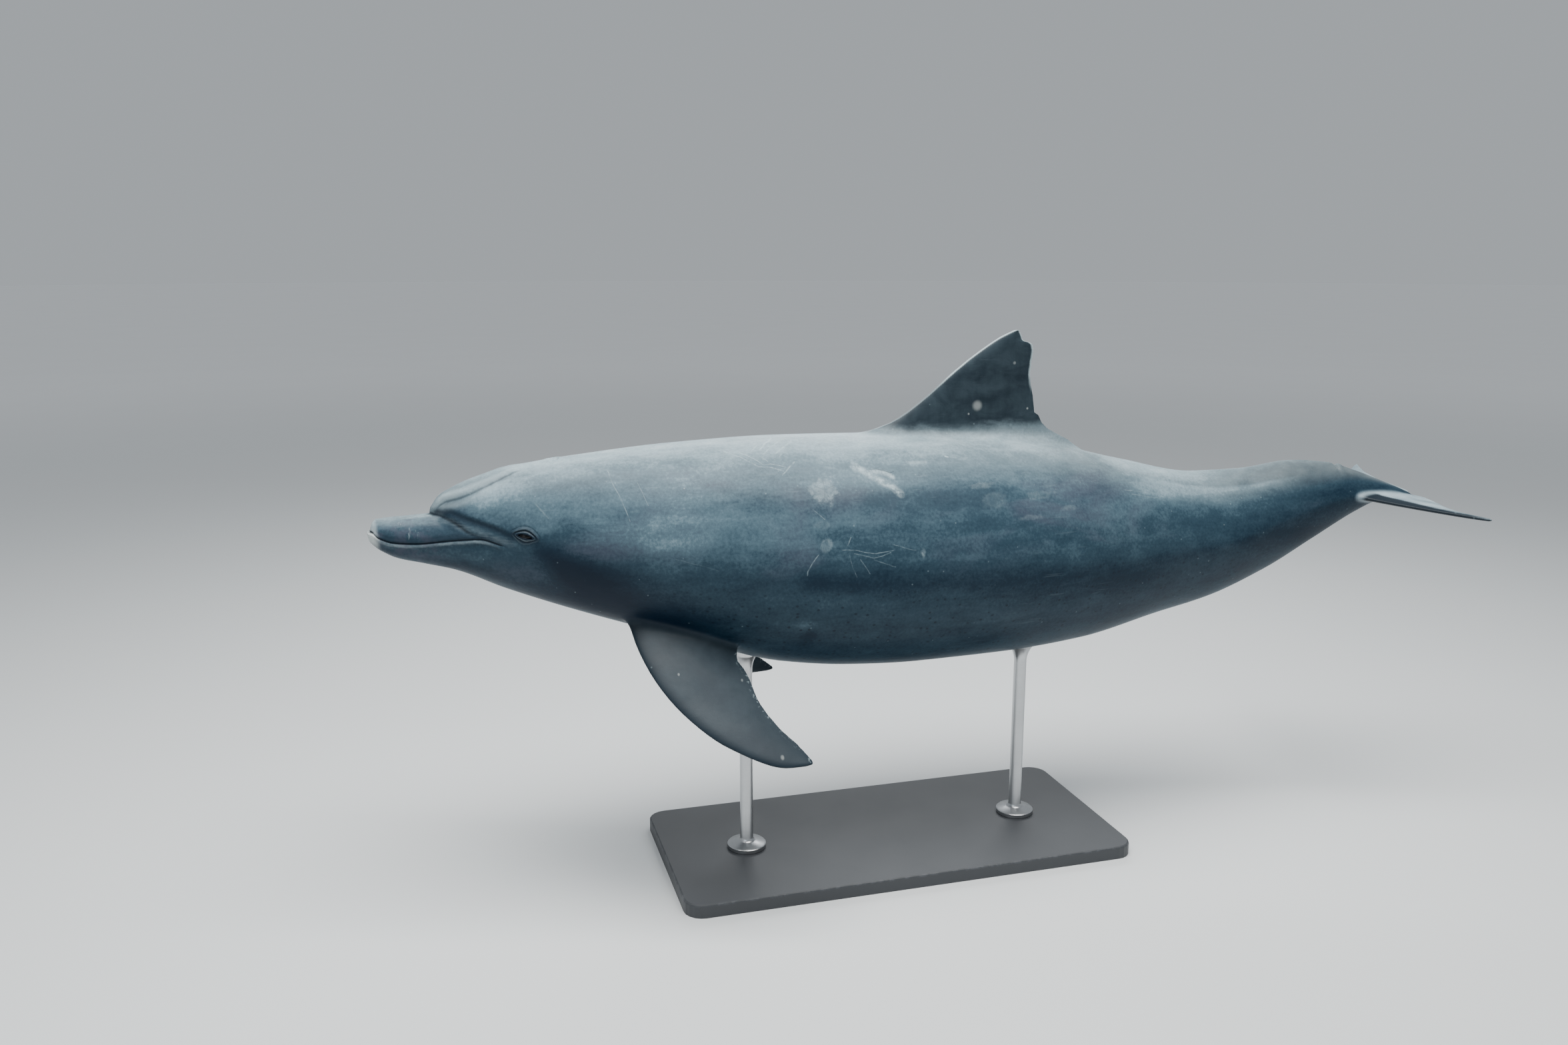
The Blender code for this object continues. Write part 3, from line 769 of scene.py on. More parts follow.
@dataclass
class DolphinSkin:
    """The animal's one skin, from the snout to the tips of the fins."""

    form: BodyForm = field(default_factory=BodyForm)
    fins: Fins = field(default_factory=Fins)
    eye: EyePlace = field(default_factory=EyePlace)
    columns: int = 64
    rings: int = 462
    spacing: Curve = Curve((
        (0.0, 0.0006), (0.01, 0.0018), (0.03, 0.0024), (0.36, 0.0025), (0.5, 0.0066), (1.85, 0.0078),
        (2.0, 0.0056), (2.12, 0.0036), (2.3, 0.003), (2.336, 0.001)))
    groove: SkinLine = SkinLine((
        (0.128, 0.073), (0.135, 0.08), (0.144, 0.086), (0.167, 0.093), (0.19, 0.102), (0.21, 0.111),
        (0.228, 0.119), (0.253, 0.13), (0.275, 0.138), (0.3, 0.143)))
    bridle: SkinLine = SkinLine((
        (0.117, 0.066), (0.129, 0.069), (0.149, 0.069), (0.172, 0.061), (0.196, 0.053), (0.222, 0.045),
        (0.241, 0.038), (0.262, 0.03)))
    crease: SkinLine = SkinLine((
        (0.108, 0.0595), (0.117, 0.062), (0.131, 0.061), (0.142, 0.057), (0.163, 0.046), (0.181, 0.033),
        (0.2, 0.025), (0.225, 0.019)))
    # Tone by degrees from straight up: pale on top as painted light from above, darkest low on the flanks as
    # painted shade, and the belly paler again as the animal's own.
    body_tone: Curve = Curve((
        (0, 0.79), (12, 0.73), (24, 0.61), (36, 0.51), (50, 0.45), (66, 0.42), (84, 0.39), (97, 0.32),
        (110, 0.3), (124, 0.29), (138, 0.24), (152, 0.3), (168, 0.46), (180, 0.54)))
    # The snout's tone: pale on top as a painted highlight, darker below as painted shade.
    lit_snout_tone: Curve = Curve((
        (0, 0.62), (40, 0.5), (70, 0.37), (90, 0.33), (110, 0.38), (135, 0.27), (180, 0.36)))
    # The tail stock's tone: a thin pale line along the top as a painted highlight on its ridge, and darker
    # low on the sides as painted shade.
    lit_rear_tone: Curve = Curve((
        (0, 0.48), (9, 0.37), (45, 0.34), (75, 0.3), (110, 0.22), (150, 0.22), (180, 0.34)))
    patches: tuple[tuple[float, ...], ...] = (
        (0.34, 0.085, 0.13, 0.055, 0.13, 12), (0.23, 0.095, 0.05, 0.018, 0.1, -25),
        (0.328, -0.012, 0.036, 0.02, -0.24, 40), (0.372, -0.045, 0.052, 0.034, -0.3, 46),
        (0.43, -0.095, 0.074, 0.05, -0.34, 44), (0.55, -0.16, 0.11, 0.05, -0.28, 20),
        (0.55, -0.01, 0.11, 0.075, 0.09, 25), (0.15, 0.06, 0.035, 0.03, -0.2),
        (0.8, -0.128, 0.2, 0.034, 0.1, 2), (1.7, 0.03, 0.15, 0.06, 0.05), (0.262, 0.028, 0.018, 0.012, -0.1),
        (0.21, -0.01, 0.06, 0.018, 0.08), (0.375, 0.045, 0.04, 0.026, -0.07, 35),
        (0.66, 0.03, 0.16, 0.055, 0.07, 8), (0.8, 0.12, 0.22, 0.03, 0.05),
        (0.93, 0.072, 0.11, 0.022, -0.07, 6), (0.89, 0.066, 0.03, 0.012, -0.06),
        (0.97, 0.118, 0.06, 0.026, 0.05), (1.12, 0.06, 0.14, 0.02, -0.06, 4),
        (1.28, 0.04, 0.16, 0.04, -0.06, 3), (0.831, -0.066, 0.03, 0.016, -0.1),
        (0.31, -0.09, 0.1, 0.034, -0.1, 22), (1.05, -0.088, 0.26, 0.026, -0.1, 3),
        (1.42, -0.115, 0.28, 0.03, -0.1, 2), (1.75, -0.1, 0.2, 0.034, -0.08, -10),
        (1.5, 0.1, 0.14, 0.026, 0.04, 14), (1.72, 0.034, 0.16, 0.026, 0.09, 6),
        (1.93, 0.048, 0.09, 0.026, 0.26, -6), (1.63, -0.02, 0.16, 0.022, -0.05, 4),
        (1.92, -0.074, 0.024, 0.014, 0.08), (2.12, 0.018, 0.07, 0.03, -0.08),
        (0.81, -0.166, 0.022, 0.012, 0.14), (0.826, -0.193, 0.013, 0.01, -0.22))
    blowhole_station: float = 0.345
    blowhole_radius: float = 0.018
    nick_station: float = 2.143
    navel_station: float = 1.18
    slit: tuple[float, float] = (1.585, 0.055)
    side_slits: Triple = (1.615, 0.018, 0.026)
    lid_steps: Pairs = (
        (0.0006, -0.0004), (0.0012, -0.0001), (0.0017, 0.0006), (0.0019, 0.0018), (0.0016, 0.0036),
        (0.0008, 0.0065), (0.0008, 0.015))

    def build(self, finish: SkinFinish) -> Object:
        """Build the skin.

        Args:
            finish: what the skin is dressed with.

        Returns:
            The finished object.
        """
        form = self.form
        net = SkinMesh(form)
        net.lay(self._stations(), self.columns, self._turns)
        for side in Side:
            net.refine(self.eye.frame(form, side)[0], (0.031, 0.05, 0.024), 3)
        for station, turn, reach, cuts in ((self.blowhole_station + 0.004, 0.0, (0.034, 0.034, 0.05), 2),
                                           (self.nick_station, 0.0, (0.024, 0.016, 0.024), 2),
                                           (1.6, math.pi, (0.085, 0.045, 0.03), 1)):
            net.refine(form.point(np.array(station), np.array(turn), 1.0), reach, cuts)
        LOG.info("skin net: %d faces", len(net.bm.faces))
        from_side, from_above = [(Vector((1, 0, 0)), Vector(up)) for up in ((0, 0, 1), (0, 1, 0))]
        lids = [(side, net.open(self.eye.outline(form, side), from_side, side.value, rounds=10)[0])
                for side in Side]
        dorsal = self.fins.dorsal()
        grown = [(dorsal, *net.open(self._footprint(dorsal), from_above, 0.0))]
        for side in Side:
            for blade in (self.fins.flipper(side), self.fins.fluke(side, form)):
                grown.append((blade, *net.open(self._footprint(blade, side.value), from_side, side.value)))
        self._shape(net)
        for blade, loop, shares in grown:
            net.grow(blade, loop, shares)
            LOG.info("%s grown: %d points round its root", blade.name, len(loop))
        self._soften_roots(net)
        for side, loop in lids:
            self._fold_lid(net, side, loop)
        return self._finished(net, finish)

    def _stations(self) -> Array:
        """Return the rings' stations, closest where the form turns fastest."""
        fine = np.linspace(0.0, self.form.tail_end, 6000)
        density = 1 / self.spacing(fine)
        total = np.concatenate(([0.0], np.cumsum(0.5 * (density[1:] + density[:-1]) * np.diff(fine))))
        return np.interp(np.linspace(0.0, total[-1], self.rings), total, fine)

    def _turns(self, share: Array, station: Array) -> Array:
        """Return the angle from straight up of each column, with one column along the mouth."""
        line = np.maximum(self.form.turn_at_level(station, self.form.mouth(station)), 0.9)
        middle = 0.5 * math.pi + (line - 0.5 * math.pi) * (1 - smooth_step(station, 0.25, 0.42))
        crowding = Curve(((0.0, 0.5), (0.26, 0.5), (0.5, 1.0)))(station)
        away = np.abs(2 * share - 1)
        reach = crowding * away + (1 - crowding) * away ** 2
        return np.where(share < 0.5, middle * (1 - reach), middle + (math.pi - middle) * reach)

    def _footprint(self, blade: Blade, side: int = 0) -> Array:
        """Return the outline of a fin's fillet on the body, kept to its own side of the midline."""
        turn = np.linspace(0.0, 2 * math.pi, 240, endpoint=False)
        feet = blade.point(blade.root(self.form, turn), turn)
        along = np.roll(feet, -2, 0) - np.roll(feet, 2, 0)
        away = np.cross(along, self.form.outward(feet))
        away /= np.maximum(np.linalg.norm(away, axis=1, keepdims=True), 1e-9)
        if ((feet - feet.mean(0)) * away).sum() < 0:
            away = -away
        rear = smooth_step(0.5 * (1 - np.cos(turn)), 0.55, 0.96)
        reach = blade.fillet * (1 - (1 - blade.rear_fillet) * rear)
        spots = feet + away * reach[:, None]
        for _ in range(12):
            spots = 0.5 * spots + 0.25 * (np.roll(spots, 1, 0) + np.roll(spots, -1, 0))
        if side:
            midline = self.form.midline(spots[:, 0] + BALANCE_STATION)
            spots[:, 1] = midline + side * np.maximum(side * (spots[:, 1] - midline), 0.005)
        return self.form.onto_skin(spots)

    def _shape(self, net: SkinMesh) -> None:
        """Give the body its folds, and measure where each point lies for the markings."""
        verts = list(net.bm.verts)
        points = net.positions(verts)
        station, turn, side, _ = self.form.place(points)
        level = points[:, 2] - REFERENCE_HEIGHT
        mouth = level - self.form.mouth(station)
        head = station < 0.42
        gaps = {}
        for name in ("groove", "bridle", "crease"):
            gaps[name] = np.full(len(verts), net.FAR_GAP)
            gaps[name][head] = getattr(self, name).gap(self.form, points[head])
        left, right = (self.eye.ring(self.form, part, points) for part in Side)
        ring, rise = (np.where(side < 0, a, b) for a, b in zip(left, right))
        height = (self._mouth_relief(station, mouth) + self._tip_relief(station, level)
                  + self._melon_relief(station, gaps)
                  + self._eye_relief(ring, rise) + self._blowhole_relief(station, turn, points)
                  + self._belly_relief(station, turn, points) + self._nick_relief(station, turn, points))
        out = self.form.outward(points)
        net.move(verts, points + out * height[:, None])
        gaps["mouth"] = np.where(station < 0.3, mouth, net.FAR_GAP)
        measures = {name + "_gap": np.clip(gap, -net.FAR_GAP, net.FAR_GAP) for name, gap in gaps.items()}
        net.keep(verts, measures | {"eye_ring": np.minimum(ring, net.FAR_RING), "eye_rise": rise,
                                    "round_turn": turn / math.pi, "tone": self._tone(station, turn, level),
                                    "front_gap": net.FAR_EDGE, "rear_gap": net.FAR_EDGE})

    def _mouth_relief(self, station: Array, mouth: Array) -> Array:
        """Return the heights of the mouth's groove and of the lips beside it."""
        present = 1 - smooth_step(station, 0.232, self.form.gape_station + 0.003)
        lips = 0.0011 * bell(mouth + 0.0046, 0.003) + 0.0008 * bell(mouth - 0.0042, 0.0028)
        return present * (lips - 0.0036 * bell(mouth, 0.0014) - 0.001 * bell(mouth + 0.013, 0.006))

    def _tip_relief(self, station: Array, level: Array) -> Array:
        """Return the heights of the blunt pads at the tips of both jaws."""
        lower = 0.003 * bell(level - 0.014, 0.011) * bell(station - 0.002, 0.014)
        return lower + 0.0022 * bell(level - 0.049, 0.009) * bell(station - 0.012, 0.011)

    def _melon_relief(self, station: Array, gaps: dict[str, Array]) -> Array:
        """Return the heights of the roll and the creases round the melon."""
        groove, bridle, crease = gaps["groove"], gaps["bridle"], gaps["crease"]
        roll = stretch(station, 0.118, 0.136, 0.262, 0.305) * (
            0.0026 * bell(groove - 0.012, 0.01) - 0.003 * bell(groove, 0.0046)
            - 0.0012 * bell(groove + 0.008, 0.006))
        fold = stretch(station, 0.106, 0.116, 0.16, 0.215) * (
            0.0012 * bell(crease - 0.009, 0.006) - 0.0036 * bell(crease, 0.0036))
        return roll + fold + stretch(station, 0.125, 0.145, 0.235, 0.262) * (
            0.0012 * bell(bridle - 0.007, 0.005) - 0.0014 * bell(bridle, 0.0036))

    def _eye_relief(self, ring: Array, rise: Array) -> Array:
        """Return the heights of the mound, the lids and the folds of skin round the eyes."""
        above, below = smooth_step(rise, -0.15, 0.35), smooth_step(-rise, -0.15, 0.35)
        mound = 0.003 * bell(ring, 5.0) + 0.0013 * bell(ring - 1.3, 0.42)
        upper = above * (0.001 * bell(ring - 2.75, 0.42) - 0.002 * bell(ring - 2.12, 0.24)
                         - 0.0008 * bell(ring - 3.75, 0.24))
        return mound + upper - below * 0.0012 * bell(ring - 2.25, 0.26)

    def _blowhole_relief(self, station: Array, turn: Array, points: Array) -> Array:
        """Return the heights of the crescent blowhole on top of the head."""
        across = np.abs(points[:, 1])
        back = station - self.blowhole_station
        away = np.hypot(back, across)
        bearing = np.arctan2(across, back)
        past = np.maximum(bearing - math.radians(80), 0.0) * self.blowhole_radius
        gap = np.hypot(away - self.blowhole_radius, past)
        upper = smooth_step(np.cos(turn), 0.3, 0.6) * (station < 0.5)
        return upper * (0.002 * bell(gap, 0.0085) - 0.0056 * bell(gap, 0.0021))

    def _belly_relief(self, station: Array, turn: Array, points: Array) -> Array:
        """Return the heights of the navel and of the slits near the tail."""
        across = np.abs(points[:, 1] - self.form.midline(station))
        below = smooth_step(-np.cos(turn), 0.5, 0.8)
        (middle, half), (beside, side_half, apart) = self.slit, self.side_slits
        slit = np.hypot(np.maximum(np.abs(station - middle) - half, 0.0), across)
        pair = np.hypot(np.maximum(np.abs(station - beside) - side_half, 0.0), across - apart)
        navel = np.hypot(station - self.navel_station, across)
        return below * (0.0022 * bell(slit, 0.014) - 0.0042 * bell(slit, 0.0042) - 0.003 * bell(pair, 0.0042)
                        - 0.0022 * bell(navel, 0.012))

    def _nick_relief(self, station: Array, turn: Array, points: Array) -> Array:
        """Return the heights of the old nick ahead of the flukes and of the flap of skin behind it."""
        across = bell(points[:, 1] - self.form.midline(station), 0.014) * (np.cos(turn) > 0)
        behind = station - self.nick_station
        return across * (0.0025 * bell(behind - 0.011, 0.007) - 0.0105 * bell(behind + 0.0005, 0.0038))

    def _tone(self, station: Array, turn: Array, level: Array) -> Array:
        """Work out the skin's tone: pigment, with painted light on the top and painted shade low on the
        flanks.

        Args:
            station: distances back from the snout.
            turn: angles from straight up.
            level: heights above the reference line.

        Returns:
            The tone, from 0, darkest, to 1, palest.
        """
        body, snout, rear = (
            curve(np.degrees(turn)) for curve in (self.body_tone, self.lit_snout_tone, self.lit_rear_tone))
        past_head, on_stock = smooth_step(station, 0.12, 0.34), smooth_step(station, 1.66, 2.02)
        tone = (body * past_head + snout * (1 - past_head)) * (1 - on_stock) + rear * on_stock
        flank = np.abs(np.cos(turn)) < 0.93
        behind_fin = 0.15 * bell(station - 1.48, 0.11) * smooth_step(np.cos(turn), 0.55, 0.85)
        return tone + flank * sum(Patch(*patch)(station, level) for patch in self.patches) - behind_fin

    def _soften_roots(self, net: SkinMesh) -> None:
        """Ease the fins' fillets into the body."""
        verts = [v for v in net.bm.verts
                 if any(0.05 < v[net.layers[name]] < 1.0 for name in ("dorsal", "flipper", "fluke"))]
        for _ in range(4):
            bmesh.ops.smooth_vert(net.bm, verts=verts, factor=0.5, use_axis_x=True, use_axis_y=True,
                                  use_axis_z=True)

    def _fold_lid(self, net: SkinMesh, side: Side, loop: list) -> None:
        """Turn the lids' edges in round the eye and close the pocket behind it."""
        centre, _, _, out = self.eye.frame(self.form, side)
        starts = net.positions(loop)
        towards = centre - starts
        towards -= np.outer(towards @ out, out)
        towards /= np.maximum(np.linalg.norm(towards, axis=1, keepdims=True), 1e-9)
        measures = {name: net.FAR_GAP for name in (*net.LINES, "front_gap", "rear_gap")}
        for name in ("tone", "eye_rise"):
            measures[name] = [vert[net.layers[name]] for vert in loop]
        ring = loop
        for inward, depth in self.lid_steps:
            ring = net.next_row(ring)
            net.move(ring, starts + towards * inward - out * depth)
            net.keep(ring, measures | {"eye_ring": 1.0 - 60 * inward - 20 * max(depth, 0.0)})
        net.close(ring)

    def _finished(self, net: SkinMesh, finish: SkinFinish) -> Object:
        """Turn the net into the finished, smooth object."""
        grown = [vert for vert in net.bm.verts if vert[net.grown]]
        net.keep(grown, {name: net.FAR_GAP for name in net.LINES} | {"eye_ring": net.FAR_RING})
        smooth_outside(net.bm)
        return made_object(net.bm, "dolphin_skin", finish.material())


class Field:
    """A number that varies over a surface: a shader socket with the operators of arithmetic."""

    def __init__(self, shader: Shader, socket: Socket) -> None:
        """Wrap a socket of a shader's tree."""
        self.shader = shader
        self.socket = socket

    def _maths(self, operation: str, *values: Field | float) -> Field:
        """Add a Math node on these values."""
        node = self.shader.node("ShaderNodeMath", {"operation": operation}, dict(enumerate(values)))
        return Field(self.shader, node.outputs[0])

    def __add__(self, other: Field | float) -> Field:
        """Add."""
        return self._maths("ADD", self, other)

    def __radd__(self, other: float) -> Field:
        """Add to a number."""
        return self._maths("ADD", other, self)

    def __sub__(self, other: Field | float) -> Field:
        """Subtract."""
        return self._maths("SUBTRACT", self, other)

    def __rsub__(self, other: float) -> Field:
        """Subtract from a number."""
        return self._maths("SUBTRACT", other, self)

    def __mul__(self, other: Field | float) -> Field:
        """Multiply."""
        return self._maths("MULTIPLY", self, other)

    def __rmul__(self, other: float) -> Field:
        """Multiply a number."""
        return self._maths("MULTIPLY", other, self)

    def least(self, other: Field | float) -> Field:
        """Return the smaller of two values."""
        return self._maths("MINIMUM", self, other)

    def most(self, other: Field | float) -> Field:
        """Return the larger of two values."""
        return self._maths("MAXIMUM", self, other)

    def size(self) -> Field:
        """Return the value without its sign."""
        return self._maths("ABSOLUTE", self)

    def rise(self, low: float, high: float) -> Field:
        """Return 0 at low and 1 at high, with a smooth rise between; high may be the smaller."""
        down = high < low
        node = self.shader.node("ShaderNodeMapRange", {"interpolation_type": "SMOOTHSTEP"},
                                {0: self, 1: min(low, high), 2: max(low, high), 3: 1.0 if down else 0.0,
                                 4: 0.0 if down else 1.0})
        return Field(self.shader, node.outputs[0])

    def band(self, middle: float, width: float) -> Field:
        """Return 1 at middle, falling smoothly to 0 a width away."""
        return (self - middle).size().rise(width, 0.0)

    def stretch(self, low: float, high: float, fade: float, end: float) -> Field:
        """Return 1 from high to fade, with smooth ends that start at low and stop at end."""
        return self.rise(low, high) * self.rise(end, fade)


def strongest(marks: Iterable[Field]) -> Field:
    """Return the largest of several values at each place."""
    return functools.reduce(Field.most, marks)


class Shader:
    """A material's node tree, with one method that makes any node."""

    def __init__(self, name: str) -> None:
        """Start a material with a Principled shader and its output."""
        self.material = bpy.data.materials.new(name)
        self.material.use_nodes = True
        self.tree = self.material.node_tree
        self.tree.nodes.clear()
        self.surface = self.node("ShaderNodeBsdfPrincipled", {}, {})
        self.node("ShaderNodeOutputMaterial", {}, {"Surface": self.surface.outputs[0]})
        self.coordinates = self.node("ShaderNodeTexCoord", {}, {}).outputs["Object"]

    def node(self, kind: str, settings: dict, sockets: dict) -> bpy.types.Node:
        """Make a node.

        Args:
            kind: the node's type.
            settings: its own settings, set first; a ramp's stops are (place, colour) pairs.
            sockets: values or links for its inputs, by name or number.

        Returns:
            The node.
        """
        made = self.tree.nodes.new(kind)
        for name, value in settings.items():
            if name == "stops":
                self._set_stops(made.color_ramp, value)
            else:
                setattr(made, name, value)
        for key, value in sockets.items():
            value = value.socket if isinstance(value, Field) else value
            if isinstance(value, Socket):
                self.tree.links.new(value, made.inputs[key])
            else:
                made.inputs[key].default_value = value
        return made

    def _set_stops(self, ramp: bpy.types.ColorRamp, stops: Sequence[tuple[float, Colour]]) -> None:
        """Give a ramp its stops."""
        while len(ramp.elements) > 1:
            ramp.elements.remove(ramp.elements[-1])
        ramp.elements[0].position = stops[0][0]
        ramp.elements[0].color = (*stops[0][1], 1.0)
        for place, colour in stops[1:]:
            ramp.elements.new(place).color = (*colour, 1.0)

    def axes(self) -> tuple[Field, Field, Field]:
        """Return the object's X, Y and Z."""
        split = self.node("ShaderNodeSeparateXYZ", {}, {0: self.coordinates})
        return tuple(Field(self, socket) for socket in split.outputs)

    def kept(self, name: str) -> Field:
        """Return a measure kept on the mesh's points."""
        node = self.node("ShaderNodeAttribute", {"attribute_type": "GEOMETRY", "attribute_name": name}, {})
        return Field(self, node.outputs["Fac"])

    def stretched(self, scale: Triple, lean: float = 0.0, shift: Triple = (0, 0, 0)) -> Socket:
        """Return the object's coordinates scaled, turned by degrees about Y and moved."""
        sockets = {"Vector": self.coordinates, "Scale": scale, "Location": shift,
                   "Rotation": (0.0, math.radians(lean), 0.0)}
        return self.node("ShaderNodeMapping", {}, sockets).outputs[0]

    def noise(self, scale: float, detail: float = 3.0, roughness: float = 0.5,
              where: Socket | None = None, distortion: float = 0.0) -> Field:
        """Return cloudy noise from 0 to 1."""
        node = self.node("ShaderNodeTexNoise", {}, {"Vector": where or self.coordinates, "Scale": scale,
                                                    "Detail": detail, "Roughness": roughness,
                                                    "Distortion": distortion})
        return Field(self, node.outputs["Fac"])

    def cells(self, scale: float, where: Socket | None = None) -> tuple[Field, Field]:
        """Return the distance to scattered points, and a random number for each of them."""
        node = self.node("ShaderNodeTexVoronoi", {}, {"Vector": where or self.coordinates, "Scale": scale})
        split = self.node("ShaderNodeSeparateColor", {}, {0: node.outputs["Color"]})
        return Field(self, node.outputs["Distance"]), Field(self, split.outputs[0])

    def vector(self, operation: str, *values: object) -> Socket:
        """Return what a Vector Math node makes of vectors."""
        return self.node("ShaderNodeVectorMath", {"operation": operation}, dict(enumerate(values))).outputs[0]

    def number(self, operation: str, *values: object) -> Field:
        """Return the number that a Vector Math node gives for vectors, such as a length."""
        node = self.node("ShaderNodeVectorMath", {"operation": operation}, dict(enumerate(values)))
        return Field(self, node.outputs["Value"])

    def blend(self, share: Field | float, low: object, high: object) -> Socket:
        """Return a mix of two colours."""
        colours = [(*c, 1.0) if isinstance(c, tuple) else c for c in (low, high)]
        node = self.node("ShaderNodeMix", {"data_type": "RGBA", "clamp_factor": True},
                         {0: share, 6: colours[0], 7: colours[1]})
        return node.outputs[2]

    def layered(self, colour: Socket, *layers: tuple[Field, object]) -> Socket:
        """Return a colour with others laid over it in turn, each by its own share."""
        for share, over in layers:
            colour = self.blend(share, colour, over)
        return colour

    def ramp(self, value: Field, stops: Sequence[tuple[float, Colour]]) -> Socket:
        """Return a colour ramp read at a value."""
        return self.node("ShaderNodeValToRGB", {"stops": stops}, {0: value}).outputs[0]

    def finish(self, constants: dict[str, object], varying: dict[str, object],
               bumps: Sequence[tuple[Field, float]] = ()) -> Material:
        """Set the surface's sockets and return the material.

        Args:
            constants: values that are the same all over.
            varying: links for the sockets that change over the surface.
            bumps: heights in metres with their strengths, one Bump node each.

        Returns:
            The material.
        """
        for name, value in constants.items():
            self.surface.inputs[name].default_value = value
        for name, value in varying.items():
            source = value.socket if isinstance(value, Field) else value
            self.tree.links.new(source, self.surface.inputs[name])
        normal = None
        for height, strength in bumps:
            sockets = {"Height": height, "Strength": strength, "Distance": 1.0}
            if normal is not None:
                sockets["Normal"] = normal
            normal = self.node("ShaderNodeBump", {}, sockets).outputs[0]
        if normal is not None:
            self.tree.links.new(normal, self.surface.inputs["Normal"])
        return self.material


@dataclass(frozen=True)
class Scratch:
    """A healed scratch or crack on the left flank, along (station, level) points."""

    track: Pairs
    width: float
    strength: float


@dataclass(frozen=True)
class Rosette:
    """A healed ring or blotch on the left flank."""

    station: float
    level: float
    length: float
    height: float
    paleness: float
    hollow: float = 0.6


